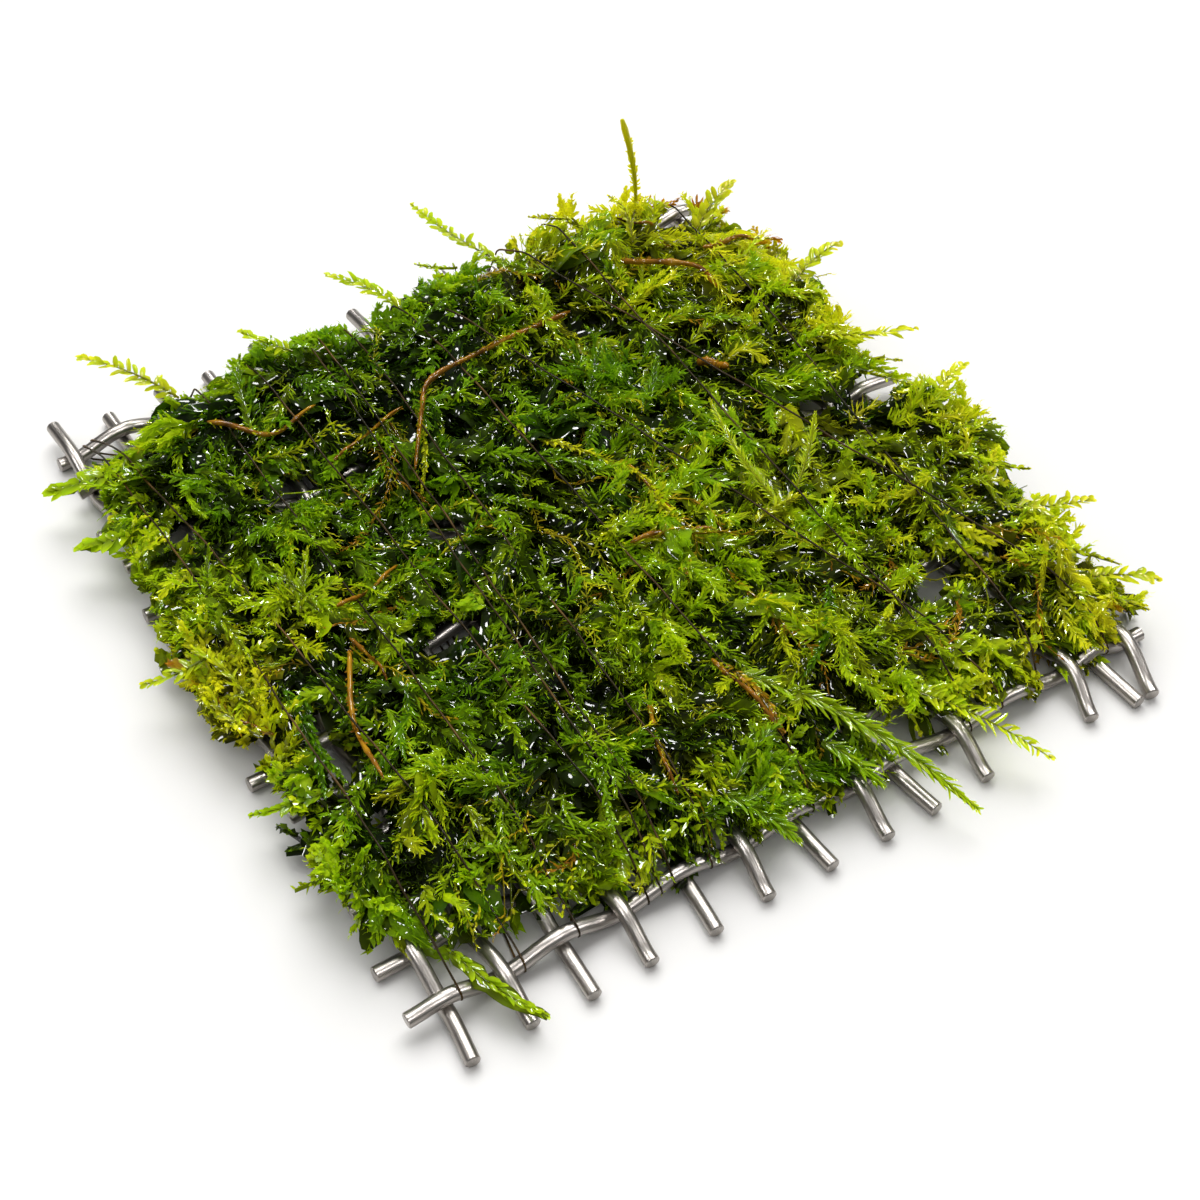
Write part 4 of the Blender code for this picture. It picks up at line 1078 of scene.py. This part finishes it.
def branching_plants(rng, x, y, length, branches, level, shade, spread):
    """Main stems with side shoots that leave them on alternate sides.

    Where the lock waves are low the side shoots lie close to the stem, as wet strands do, and where they
    are high the side shoots stand out at about 50 degrees. A few plants are ribbons of broad leaves.
    """
    count = len(x)
    # Painted light and shade: plants are lighter and yellower where the light waves are high, darker where
    # low
    light = ripple(x, y, PAINTED_LIGHT_WAVES)
    openness = np.clip(0.62 + 0.55 * ripple(x, y, LOCK_WAVES) + rng.normal(0, 0.2, count), 0.2, 1.1)
    main = new_shoots(
        count, x=x, y=y, heading=flow(x, y, rng, spread), length=length * rng.uniform(0.7, 1.25, count),
        **growth(rng, count, 0.8, (0, 0.4), level, (-0.3, 0.9), 0.45),
        tint=tint_at(x, y) + rng.normal(0, 0.05, count) + 0.14 * light,
        shade=rng.uniform(*shade, count) + 0.55 * light,
        lean=0.42 + 0.48 * openness, leaf=np.clip(1.0 + 0.35 * ripple(x, y, WIDTH_WAVES), 0.75, 1.5),
        width=np.clip(1.0 + 0.5 * ripple(y, x, WIDTH_WAVES) + rng.normal(0, 0.15, count), 0.6, 1.7),
        strap=rng.uniform(0.5, 1.1, count),
    )
    ribbon = rng.random(count) < RIBBON_SHARE
    main["width"] = np.where(ribbon, 1.7, main["width"])
    main["lean"] = np.where(ribbon, 0.5, main["lean"])
    main["tint"] = np.where(ribbon, main["tint"] - 0.06, main["tint"])
    main["strap"] = np.where(ribbon, rng.uniform(0.9, 1.5, count), main["strap"])
    back = 0.35 * main["length"]
    main["x"] -= np.cos(main["heading"]) * back
    main["y"] -= np.sin(main["heading"]) * back
    groups = [main]
    stations = 25
    plan_x, plan_y, angle = plan_of(main, stations)
    for number in range(branches):
        share = (number + 0.8) / (branches + 0.8)
        station = int(share * (stations - 1))
        turn = (1 if number % 2 else -1) * rng.normal(0.88, 0.22, count) * openness
        branch = main.copy()
        branch["x"], branch["y"] = plan_x[:, station], plan_y[:, station]
        branch["heading"] = angle[:, station] + turn
        branch["length"] = main["length"] * rng.uniform(0.28, 0.55, count) * (1.15 - 0.6 * share)
        branch["length"] *= 1.35 - 0.4 * openness
        branch["bend"] = -turn * rng.uniform(0, 0.7, count)
        branch["phase"] = rng.random(count)
        branch["level"] = main["level"] + 0.04 * rng.normal(0, 1, count)
        branch["lift"] = rng.uniform(-0.2, 1.4, count)
        branch["roll"] = rng.normal(0, 0.6, count)
        branch["tint"] += rng.normal(0, 0.025, count)
        branch["shade"] += rng.normal(0, 0.05, count)
        branch["strap"] *= 0.85
        groups.append(branch)
    old = rng.random(count) < OLD_SHARE
    main["tint"] = np.where(old, DEAD_TINT, main["tint"])
    main["length"] = np.where(old, main["length"] * 0.5, main["length"])
    return np.concatenate(groups)


def rim_shoots(rng, mat, spacing):
    """Short shoots along the rim that point outward, bend down and end a little past the outline."""
    x, y = scatter(rng, spacing, mat, 0.4)
    near = mat.at(mat.rim, x, y) < RIM_BAND
    x, y = x[near], y[near]
    step = MatTop.STEP * 1.2
    slope_x = mat.at(mat.rim, x + step, y) - mat.at(mat.rim, x - step, y)
    slope_y = mat.at(mat.rim, x, y + step) - mat.at(mat.rim, x, y - step)
    heading = np.arctan2(-slope_y, -slope_x) + rng.normal(0, 0.5, len(x))
    count = len(x)
    front = np.where(y < FRONT_RIM, np.maximum(-np.sin(heading), 0), 0)
    left = np.where(x < LEFT_RIM, np.maximum(-np.cos(heading), 0), 0)
    reach = mat.at(mat.rim, x, y) + rng.uniform(-1.0, 1.4, count) + FRONT_REACH * front + LEFT_REACH * left
    return new_shoots(
        count, x=x, y=y, heading=heading, length=np.clip(reach, 1.6, 7),
        **growth(rng, count, 0.5, (0, 0.3), (0.05, 1.0), (-0.8, 0.9), 0.6),
        tint=tint_at(x, y) + rng.normal(0.03, 0.05, count), shade=rng.uniform(0.42, 0.74, count),
        gap=rng.uniform(0.36, 0.54, count), leaf=0.9, width=1.5, strap=rng.uniform(0.15, 0.4, count),
    )


def comb_shoots(rng, count):
    """Bright combs on top of the mat, with painted light: dense leaf pairs on shoots that lie open to the
    sky.
    """
    x, y = rng.uniform(-40, 42, count), rng.uniform(-38, 38, count)
    return new_shoots(
        count, x=x, y=y, heading=flow(x, y, rng, 0.6), length=rng.uniform(3.5, 9, count),
        **growth(rng, count, 0.9, (0, 0.5), (0.95, 1.1), (0.2, 1.8), 0.5),
        tint=tint_at(x, y) + rng.normal(0.06, 0.06, count), shade=rng.uniform(0.66, 0.95, count),
        gap=rng.uniform(0.28, 0.4, count), leaf=rng.uniform(0.8, 1.3, count),
        width=rng.uniform(0.6, 1.2, count), strap=rng.uniform(0.12, 0.4, count),
    )


def loose_strands(rng, count):
    """Long bare strands on top of the mat: old shoots with few leaves, olive to dark brown."""
    x, y = rng.uniform(-38, 42, count), rng.uniform(-38, 40, count)
    return new_shoots(
        count, x=x, y=y, heading=flow(x, y, rng, 0.7), length=rng.uniform(6, 15, count),
        **growth(rng, count, 1.2, (0.1, 0.7), (0.8, 1.05), (0.0, 1.0), 0.6),
        tint=rng.uniform(0.5, 0.86, count), shade=rng.uniform(0.5, 0.95, count),
        gap=rng.uniform(0.6, 1.4, count), leaf=0.7, width=0.8, stem=rng.uniform(0.8, 1.6, count),
    )


def tuft_shoots(rng):
    """Tufts: short shoots that fan out and up from one place."""
    groups = []
    for tuft_x, tuft_y, tint, count in TUFTS:
        heading = rng.uniform(0, TURN, count)
        start = rng.uniform(0, 1.6, count)
        # Painted light: the tufts are lighter than the mat around them
        groups.append(new_shoots(
            count, x=tuft_x + np.cos(heading) * start, y=tuft_y + np.sin(heading) * start, heading=heading,
            length=rng.uniform(2.6, 5.6, count), bend=rng.normal(0, 0.6, count), waver=0.2,
            phase=rng.random(count), level=rng.uniform(0.7, 1.0, count), lift=rng.uniform(0.6, 3.4, count),
            roll=rng.normal(0, 0.7, count), tint=tint + rng.normal(0, 0.03, count),
            shade=rng.uniform(0.62, 0.86, count), gap=rng.uniform(0.3, 0.42, count), leaf=0.95, width=1.2,
            strap=rng.uniform(0.15, 0.3, count),
        ))
    return np.concatenate(groups)


def foot_of(base, mat, lift):
    """The point at a lift above the mat's top over a base."""
    return np.array((*base, float(mat.at(mat.top, *np.array(base))) + lift))


def shoot_between(base, tip, bow, stations):
    """Centre line from base to tip: straight, plus a sideways sine bow and a third of it upward."""
    share = np.linspace(0, 1, stations)[:, None]
    line = base + (tip - base) * share
    reach = np.linalg.norm(tip - base)
    sideways = unit(np.cross(UP, tip - base))
    swell = np.sin(math.pi * share) * reach * bow
    return line + sideways * swell + np.array(UP) * 0.35 * abs(swell)


QUARTERS = (("front_left", -1, -1), ("front_right", 1, -1), ("back_left", -1, 1), ("back_right", 1, 1))


def node(tree, kind, x, y, **settings):
    """Add a node at a place in the editor, with its settings."""
    made = tree.nodes.new(kind)
    made.location = (x, y)
    for name, value in settings.items():
        setattr(made, name, value)
    return made


def colour_ramp(tree, x, y, stops, mode="LINEAR"):
    """A colour ramp through (place, colour) stops."""
    ramp = node(tree, "ShaderNodeValToRGB", x, y)
    ramp.color_ramp.interpolation = mode
    elements = ramp.color_ramp.elements
    while len(elements) < len(stops):
        elements.new(0.5)
    for element, (place, colour) in zip(elements, stops):
        element.position = place
        element.color = (*colour, 1.0)
    return ramp


def new_material(name):
    """An empty node material with its output and a Principled shader."""
    material = bpy.data.materials.new(name)
    material.use_nodes = True
    tree = material.node_tree
    return material, tree, tree.nodes["Principled BSDF"], tree.nodes["Material Output"]


def set_inputs(made, values):
    """Give a node's inputs their values."""
    for name, value in values.items():
        made.inputs[name].default_value = value


def noise_colour(tree, shader, place, scale, detail, stops):
    """Base colour from noise at a place, through a colour ramp, and the noise's output."""
    link = tree.links.new
    noise = node(tree, "ShaderNodeTexNoise", -820, 0)
    set_inputs(noise, {"Scale": scale, "Detail": detail})
    link(place, noise.inputs["Vector"])
    tone = colour_ramp(tree, -600, 160, stops)
    link(noise.outputs["Fac"], tone.inputs["Fac"])
    link(tone.outputs["Color"], shader.inputs["Base Color"])
    return noise.outputs["Fac"]


def moss_material(looks):
    """Wet, thin leaves: the map's first share picks the tint and its second how bright it is."""
    material, tree, shader, output = new_material("moss_leaf")
    link = tree.links.new
    uv = node(tree, "ShaderNodeUVMap", -1300, 0, uv_map="OFBake")
    parts = node(tree, "ShaderNodeSeparateXYZ", -1120, 0)
    link(uv.outputs["UV"], parts.inputs[0])
    tints = colour_ramp(tree, -900, 200, (
        (0.0, (0.008, 0.02, 0.0008)), (0.15, (0.03, 0.085, 0.0012)), (0.3, (0.085, 0.21, 0.002)),
        (0.45, tuple(looks.bright_green)), (0.6, (0.36, 0.48, 0.005)), (0.75, tuple(looks.olive_yellow)),
        (0.88, (0.38, 0.17, 0.01)), (1.0, (0.06, 0.018, 0.004)),
    ))
    link(parts.outputs["X"], tints.inputs["Fac"])
    # The brightness also carries the painted light and shade held in the map's second share
    brightness = colour_ramp(tree, -900, -80, (
        (0.0, (0.05, 0.05, 0.05)), (0.3, (0.25, 0.25, 0.25)), (0.7, (0.98, 0.98, 0.95)),
        (1.0, (1.8, 1.8, 1.3)),
    ))
    link(parts.outputs["Y"], brightness.inputs["Fac"])
    colour = node(tree, "ShaderNodeMix", -600, 120, data_type="RGBA", blend_type="MULTIPLY")
    colour.inputs["Factor"].default_value = 1.0
    link(tints.outputs["Color"], colour.inputs["A"])
    link(brightness.outputs["Color"], colour.inputs["B"])
    link(colour.outputs["Result"], shader.inputs["Base Color"])
    set_inputs(shader, {
        "Roughness": 0.4, "Specular IOR Level": 0.05, "Coat Weight": 1.0, "Coat Roughness": 0.03,
        "Coat IOR": 1.5,
    })
    through = node(tree, "ShaderNodeBsdfTranslucent", 20, -300)
    link(colour.outputs["Result"], through.inputs["Color"])
    blend = node(tree, "ShaderNodeMixShader", 260, 0)
    blend.inputs["Fac"].default_value = looks.translucency
    link(shader.outputs["BSDF"], blend.inputs[1])
    link(through.outputs["BSDF"], blend.inputs[2])
    link(blend.outputs["Shader"], output.inputs["Surface"])
    return material


def steel_material(looks):
    """Drawn steel wire: faint streaks along it in colour and roughness."""
    material, tree, shader, _ = new_material("steel_wire")
    link = tree.links.new
    uv = node(tree, "ShaderNodeUVMap", -1200, 0, uv_map="OFBake")
    stretch = node(tree, "ShaderNodeMapping", -1020, 0)
    set_inputs(stretch, {"Scale": (26.0, 9.0, 1.0)})
    link(uv.outputs["UV"], stretch.inputs["Vector"])
    dark = tuple(0.55 * part for part in looks.steel)
    streaks = noise_colour(
        tree, shader, stretch.outputs["Vector"], 1.0, 5.0, ((0.3, dark), (0.62, tuple(looks.steel))),
    )
    rough = node(tree, "ShaderNodeMapRange", -600, -120)
    set_inputs(rough, {"To Min": 0.28, "To Max": 0.42})
    link(streaks, rough.inputs["Value"])
    link(rough.outputs["Result"], shader.inputs["Roughness"])
    set_inputs(shader, {"Metallic": 1.0})
    return material


def thread_material(looks):
    """Dark waxed thread, browner and greener in turns along its length."""
    material, tree, shader, _ = new_material("thread")
    place = node(tree, "ShaderNodeTexCoord", -1000, 0)
    noise_colour(tree, shader, place.outputs["Object"], 160.0, 3.0, (
        (0.3, (0.014, 0.013, 0.003)), (0.52, tuple(looks.thread)), (0.7, (0.14, 0.075, 0.015)),
    ))
    set_inputs(shader, {
        "Roughness": 0.5, "Specular IOR Level": 0.1, "Coat Weight": 0.12, "Coat Roughness": 0.15,
        "Coat IOR": 1.4,
    })
    return material


def stem_material(looks):
    """Old stems: orange brown to dark red brown, in blotches drawn out along them, under a wet film."""
    material, tree, shader, _ = new_material("brown_stem")
    link = tree.links.new
    place = node(tree, "ShaderNodeTexCoord", -1000, 0)
    blotches = noise_colour(tree, shader, place.outputs["Object"], 300.0, 4.0, (
        (0.3, (0.03, 0.008, 0.002)), (0.5, tuple(looks.stem_brown)), (0.7, (0.46, 0.24, 0.006)),
    ))
    bump = node(tree, "ShaderNodeBump", -400, -260)
    set_inputs(bump, {"Strength": 0.5, "Distance": 0.0001})
    link(blotches, bump.inputs["Height"])
    link(bump.outputs["Normal"], shader.inputs["Normal"])
    set_inputs(shader, {
        "Roughness": 0.5, "Specular IOR Level": 0.05, "Coat Weight": 0.5, "Coat Roughness": 0.05,
    })
    return material


def wire_heights(sizes):
    """Lowest and highest height of a wire's centre in the weave: wires touch where they cross."""
    return sizes.wire_radius, sizes.wire_radius * 3 + CROSSING_GAP


PIECES = {}


def mat_top():
    """The mat's height grid, read from the frame once."""
    if "mat" not in PIECES:
        PIECES["mat"] = MatTop(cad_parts["moss_mat"])
    return PIECES["mat"]


def moss_leaves():
    """The moss material, made once."""
    if "leaves" not in PIECES:
        PIECES["leaves"] = moss_material(bpy.context.scene.moss_looks)
    return PIECES["leaves"]


def length_setting(name, meaning, default, least, most):
    """A length in millimetres."""
    return bpy.props.FloatProperty(
        name=name, description=meaning + " in mm", default=default, min=least, max=most,
    )


def colour_setting(name, meaning, default):
    """A colour as linear red, green and blue."""
    return bpy.props.FloatVectorProperty(name=name, description=meaning, subtype="COLOR", default=default)


class MossSizes(bpy.types.PropertyGroup):
    """Sizes in millimetres."""

    leaf_length: length_setting("Leaf length", "Length of a full leaf", 1.35, 0.5, 4)
    leaf_width: length_setting("Leaf width", "Width of a full leaf", 0.24, 0.1, 2)
    stem_radius: length_setting("Shoot radius", "Radius of a shoot's stem", 0.1, 0.02, 0.5)
    crown_spacing: length_setting("Crown spacing", "Distance between plants on top", 3.2, 2, 20)
    bed_spacing: length_setting("Bed spacing", "Distance between plants below", 4.8, 2, 20)
    under_spacing: length_setting("Under spacing", "Distance between plants in the mesh", 5.5, 2, 20)
    wire_radius: length_setting("Wire radius", "Radius of the steel wires", 0.8, 0.2, 1)
    thread_radius: length_setting("Thread radius", "Radius of the tying thread", 0.115, 0.05, 0.5)


class MossLooks(bpy.types.PropertyGroup):
    """Colours, and how much light the leaves let through."""

    bright_green: colour_setting("Bright green", "Colour of fresh leaves", (0.19, 0.34, 0.003))
    olive_yellow: colour_setting("Olive yellow", "Colour of leaves at the rim", (0.56, 0.55, 0.012))
    stem_brown: colour_setting("Stem brown", "Colour of old stems", (0.28, 0.115, 0.004))
    thread: colour_setting("Thread", "Colour of the thread", (0.034, 0.02, 0.004))
    steel: colour_setting("Steel", "Colour of the wires", (0.47, 0.435, 0.4))
    floor: colour_setting("Floor", "Colour of the floor", (0.8, 0.79, 0.775))
    translucency: bpy.props.FloatProperty(
        name="Translucency", description="Share of light that passes through a leaf", subtype="FACTOR",
        default=0.46, min=0, max=1,
    )


class MOSSPAD_OT_wires(bpy.types.Operator):
    """Make the woven wires: a round section carried along a cosine weave"""

    bl_idname = "mosspad.wires"
    bl_label = "Woven wires"

    def execute(self, context):
        sizes = context.scene.moss_sizes
        low, high = wire_heights(sizes)
        steel = steel_material(context.scene.moss_looks)
        kinds = (
            ("column_wires", "column_wire_%02d", column_path, np.array((1.0, 0.0, 0.0))),
            ("row_wires", "row_wire_%02d", row_path, np.array((0.0, 1.0, 0.0))),
        )
        for name, node_name, path_of, facing in kinds:
            paths = [path_of(wire, low, high) for wire in range(WIRE_COUNT)]
            shapes = [cut_wire(path, sizes.wire_radius, facing) for path in paths]
            nodes = [node_name % (wire + 1) for wire in range(WIRE_COUNT)]
            piece = make_mesh(name, shapes, steel, nodes)
            piece.data.set_sharp_from_angle(angle=math.radians(35))
        return {"FINISHED"}


class MOSSPAD_OT_thread(bpy.types.Operator):
    """Wind the thread: a round section carried along a taut line over the mat"""

    bl_idname = "mosspad.thread"
    bl_label = "Tying thread"

    def execute(self, context):
        sizes = context.scene.moss_sizes
        mat = mat_top()
        points, runs = thread_route(mat, sizes)
        line = even_steps(points, THREAD_STEP)
        place = np.arange(len(line)) * THREAD_STEP
        line[:, 0] += sum(height * np.sin(place / length + phase) for height, length, phase in THREAD_WAVERS)
        radii = np.full(len(line), sizes.thread_radius)
        shape = sweep(line, radii, THREAD_SIDES, np.array((1.0, 0.0, 0.0)))
        waxed = thread_material(context.scene.moss_looks)
        make_mesh("tying_thread_wound", [shape], waxed, ["tying_thread"])
        for run in runs:
            mat.press(run, PRESS_SLOPE)
        return {"FINISHED"}


class MOSSPAD_OT_stems(bpy.types.Operator):
    """Lay the old brown stems on the moss: knotty rods along smooth routes"""

    bl_idname = "mosspad.stems"
    bl_label = "Brown stems"

    def execute(self, context):
        mat = mat_top()
        bark = stem_material(context.scene.moss_looks)
        nodes = ["brown_stem_arch", "brown_stem_long", "brown_stem_left", "brown_stem_low"]
        rng = noise_seed("brown_stems")
        shapes = [stem_tube(route, radius, lift, mat, rng) for radius, lift, route in BROWN_STEMS]
        make_mesh("old_stems", shapes, bark, nodes)
        shapes = [stem_tube(route, radius, lift, mat, rng) for radius, lift, route in FALLEN_STEMS]
        make_mesh("fallen_stems", shapes, bark, [])
        stations = 16
        paths = []
        for radius, lift, route in BROWN_STEMS + FALLEN_STEMS:
            plan = even_steps(np.pad(smooth_route(route, STEM_STEPS), ((0, 0), (0, 1))), 0.5)
            plan = plan[np.linspace(0, len(plan) - 1, stations).astype(int)]
            plan[:, 2] = mat.at(mat.top, plan[:, 0], plan[:, 1]) + lift
            paths.append(plan)
        count = len(paths)
        old = new_shoots(
            count, roll=rng.normal(0, 0.5, count), tint=rng.uniform(0.76, 0.9, count), shade=0.5,
            leaf=rng.uniform(0.45, 0.75, count), width=rng.uniform(0.7, 1.1, count), gap=0.42, stem=0.3,
            lean=0.8,
        )
        shapes = leafy_shoots(np.array(paths), old, rng, context.scene.moss_sizes, BLUNT_LEAF, 1.0)
        make_mesh("stem_scales", shapes, moss_leaves(), [], flat=(0,))
        return {"FINISHED"}


class MOSSPAD_OT_moss(bpy.types.Operator):
    """Grow the mat: branching plants in a bed and a crown, tufts on top and short shoots at the rim"""

    bl_idname = "mosspad.moss"
    bl_label = "Moss mat"

    def execute(self, context):
        sizes = context.scene.moss_sizes
        mat = mat_top()
        leaves = moss_leaves()
        rng = noise_seed("moss_bed")
        x, y = scatter(rng, sizes.bed_spacing, mat, 0.5)
        bed = branching_plants(rng, x, y, *BED_PLANTS)
        bed["leaf"], bed["width"], bed["gap"] = 1.2, 1.8, 0.62
        bed["strap"] *= 1.3
        rng = noise_seed("moss_crown")
        x, y = scatter(rng, sizes.crown_spacing, mat, 1.0)
        crown = branching_plants(rng, x, y, *CROWN_PLANTS)
        crown["gap"], crown["width"] = 0.38, crown["width"] * 0.8
        crown["strap"] *= 1.2
        fringe = np.concatenate([
            rim_shoots(rng, mat, RIM_SPACING), tuft_shoots(rng), loose_strands(rng, STRAND_COUNT),
            comb_shoots(rng, COMB_COUNT),
        ])
        for layer, shoots, outline, stations, unrest in (
                ("moss_bed", bed, KITE_LEAF, 6, 1.0),
                ("moss_crown", crown, KITE_LEAF, 7, 0.8),
                ("moss_fringe", fringe, BLUNT_LEAF, 7, 0.55),
        ):
            shoots = rounder_at_rim(kept_on(shoots, mat, FARTHEST_OUT), mat)
            paths = lay_shoots(shoots, mat, stations, BED_HEIGHT)
            crossing = over_opening(paths, OPENING_CORE).any(1) & (shoots["stem"] <= 1)
            clear = ~crossing | (noise_seed(layer).random(len(shoots)) < STRAY_LEAVES)
            shoots, paths = shoots[clear], paths[clear]
            for quarter, side_x, side_y in QUARTERS:
                name = layer + "_" + quarter
                chosen = (shoots["x"] * side_x >= 0) & (shoots["y"] * side_y >= 0)
                rng = noise_seed(name)
                shapes = leafy_shoots(paths[chosen], shoots[chosen], rng, sizes, outline, unrest, mat=mat)
                if layer != "moss_bed":
                    shapes.append(wet_flecks(shapes[0], 2 * len(outline) + 2, rng, FLECK_SHARE))
                make_mesh(name, shapes, leaves, ["moss_mat"], flat=(0, 3))
        rng = noise_seed("moss_under")
        x, y = scatter(rng, sizes.under_spacing, mat, UNDER_INSET)
        under = branching_plants(rng, x, y, *UNDER_PLANTS)
        # Painted light: the plants in the mesh are yellower, and lighter by their shade, as if lit through
        # the mat above
        under["lift"], under["tint"], under["width"], under["gap"] = 0.2, under["tint"] + 0.2, 1.8, 0.8
        under["strap"] *= 0.8
        paths = lay_shoots(under, mat, 5, UNDER_HEIGHT)
        shapes = leafy_shoots(paths, under, rng, sizes, KITE_LEAF, 1.0)
        make_mesh("moss_under", shapes, leaves, ["moss_mat"], flat=(0,))
        return {"FINISHED"}


class MOSSPAD_OT_shoots(bpy.types.Operator):
    """Place the single shoots: those that stand out at the edges and those that lie on top"""

    bl_idname = "mosspad.shoots"
    bl_label = "Single shoots"

    def execute(self, context):
        sizes = context.scene.moss_sizes
        mat = mat_top()
        paths = []
        values = []
        edge_count = len(EDGE_SHOOTS)
        for _, base, tip, length, width, gap, lean, strap, tint, bow in EDGE_SHOOTS:
            path = shoot_between(foot_of(base, mat, 0.5), np.array(tip), bow, SHOOT_STATIONS)
            above = mat.at(mat.top, path[:, 0], path[:, 1]) + 0.3
            inside = mat.at(mat.rim, path[:, 0], path[:, 1]) > 0.3
            path[:, 2] = np.where(inside, np.maximum(path[:, 2], above), path[:, 2])
            paths.append(path)
            values.append((length, width, gap, lean, strap, tint))
        for base, tip, lift, half_width, gap, tint, bow in TOP_SHOOTS:
            path = shoot_between(np.array((*base, 0.0)), np.array((*tip, 0.0)), bow, SHOOT_STATIONS)
            share = np.linspace(0, 1, SHOOT_STATIONS)
            path[:, 2] = mat.at(mat.top, path[:, 0], path[:, 1]) + 0.55 + lift * share ** 1.4
            paths.append(path)
            values.append((0.75 * half_width, 0.26 + 0.16 * gap, 0.8 * gap, 0.9, 0.22 * half_width, tint))
        paths = np.array(paths)
        length, width, gap, lean, strap, tint = np.array(values).T
        rng = noise_seed("single_shoots")
        count = len(paths)
        shoots = new_shoots(
            count, x=paths[:, 0, 0], y=paths[:, 0, 1], roll=rng.normal(0, 0.12, count), tint=tint,
            shade=SHOOT_SHADE, leaf=length / sizes.leaf_length, width=width / sizes.leaf_width, gap=gap,
            lean=lean, strap=strap, stem=1.8,
        )
        nodes = [row[0] for row in EDGE_SHOOTS]
        shoots["shade"][[nodes.index(name) for name in BRIGHT_SHOOTS]] = BRIGHT_SHADE
        for name, part, stood_for, unrest in (
                ("loose_shoots", slice(edge_count), nodes, 0.08),
                ("top_shoots", slice(edge_count, None), ["moss_mat"], 0.6),
        ):
            shapes = leafy_shoots(paths[part], shoots[part], rng, sizes, ROUND_LEAF, unrest, ribbed=True)
            make_mesh(name, shapes, moss_leaves(), stood_for)
        name, base, tip, length, width, gap, lean, strap, tint, bow = UPRIGHT_SHOOT
        path = shoot_between(foot_of(base, mat, -0.5), np.array(tip), bow, SHOOT_STATIONS)[None]
        shoots = new_shoots(
            1, tint=tint, shade=0.8, leaf=length / sizes.leaf_length, width=width / sizes.leaf_width, gap=gap,
            lean=lean, strap=strap, stem=2.2,
        )
        towards_front = (-0.5, -0.86, 0.1)
        shapes = leafy_shoots(path, shoots, rng, sizes, ROUND_LEAF, 0.2, ribbed=True, up=towards_front)
        rod, walls, _ = sweep(path[0], np.array(UPRIGHT_RADII), 8, np.array(towards_front))
        shapes.append((rod, walls, np.full((len(rod), 2), (tint, 0.98))))
        make_mesh("upright_shoot", shapes, moss_leaves(), [name])
        return {"FINISHED"}


def far_light(name, azimuth, elevation, width, strength, small):
    """A far round light: where it stands round the object, and how wide it looks, both in degrees."""
    data = bpy.data.lights.new(name, "SUN")
    data.angle = math.radians(width)
    data.energy = strength
    light = bpy.data.objects.new(name, data)
    bpy.context.scene.collection.objects.link(light)
    light.location = (0.0, 0.0, 0.5)
    light.visible_glossy = small
    light.visible_diffuse = not small
    light.visible_transmission = not small
    light.rotation_euler = (math.radians(90 - elevation), 0.0, math.radians(90 + azimuth))
    return light


class MOSSPAD_OT_stage(bpy.types.Operator):
    """Set up the pale floor, the soft lights and the camera"""

    bl_idname = "mosspad.stage"
    bl_label = "Stage"

    def execute(self, context):
        scene = context.scene
        material, _, shader, _ = new_material("floor")
        set_inputs(shader, {"Base Color": (*scene.moss_looks.floor, 1.0), "Roughness": 0.7})
        half = FLOOR_SIZE / 2 * MM
        data = bpy.data.meshes.new("floor")
        corners = [(-half, -half, 0), (half, -half, 0), (half, half, 0), (-half, half, 0)]
        data.from_pydata(corners, [], [(0, 1, 2, 3)])
        data.materials.append(material)
        floor = bpy.data.objects.new("floor", data)
        scene.collection.objects.link(floor)
        for number, settings in enumerate(SOFT_LIGHTS + SMALL_LIGHTS):
            far_light("light_%d" % number, *settings, number >= len(SOFT_LIGHTS))
        world = bpy.data.worlds.new("studio")
        world.use_nodes = True
        set_inputs(world.node_tree.nodes["Background"], {"Color": (1, 1, 1, 1), "Strength": WORLD_STRENGTH})
        scene.world = world
        camera_data = bpy.data.cameras.new("camera")
        camera_data.lens = CAMERA_LENS
        camera_data.sensor_width = CAMERA_SENSOR
        camera_data.clip_start = 0.001
        camera = bpy.data.objects.new("camera", camera_data)
        scene.collection.objects.link(camera)
        camera.location = (np.array(CAMERA_PLACE) + MESH_MIDDLE) * MM
        camera.rotation_euler = np.radians(CAMERA_TURN)
        scene.camera = camera
        scene.view_settings.view_transform = "Standard"
        return {"FINISHED"}


class MOSSPAD_PT_panel(bpy.types.Panel):
    """Sizes, colours and one button for each group of pieces"""

    bl_idname = "MOSSPAD_PT_panel"
    bl_label = "Moss Pad"
    bl_space_type = "VIEW_3D"
    bl_region_type = "UI"
    bl_category = "Moss Pad"

    def draw(self, context):
        for group in (context.scene.moss_sizes, context.scene.moss_looks):
            box = self.layout.box()
            for name in group.bl_rna.properties.keys():
                if name not in ("rna_type", "name"):
                    box.prop(group, name)
        for operator in OPERATORS:
            self.layout.operator(operator.bl_idname)


OPERATORS = (
    MOSSPAD_OT_wires, MOSSPAD_OT_thread, MOSSPAD_OT_stems, MOSSPAD_OT_moss, MOSSPAD_OT_shoots,
    MOSSPAD_OT_stage,
)
CLASSES = (MossSizes, MossLooks, *OPERATORS, MOSSPAD_PT_panel)


def register():
    """Register the classes and hang the settings on the scene."""
    for each in CLASSES:
        bpy.utils.register_class(each)
    bpy.types.Scene.moss_sizes = bpy.props.PointerProperty(type=MossSizes)
    bpy.types.Scene.moss_looks = bpy.props.PointerProperty(type=MossLooks)


def unregister():
    """Take the settings and the classes away again."""
    del bpy.types.Scene.moss_looks
    del bpy.types.Scene.moss_sizes
    for each in reversed(CLASSES):
        bpy.utils.unregister_class(each)


def main():
    """Make every piece and the stage."""
    register()
    bpy.ops.mosspad.wires()
    bpy.ops.mosspad.thread()
    bpy.ops.mosspad.stems()
    bpy.ops.mosspad.moss()
    bpy.ops.mosspad.shoots()
    bpy.ops.mosspad.stage()
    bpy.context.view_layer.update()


if __name__ == "__main__":
    main()
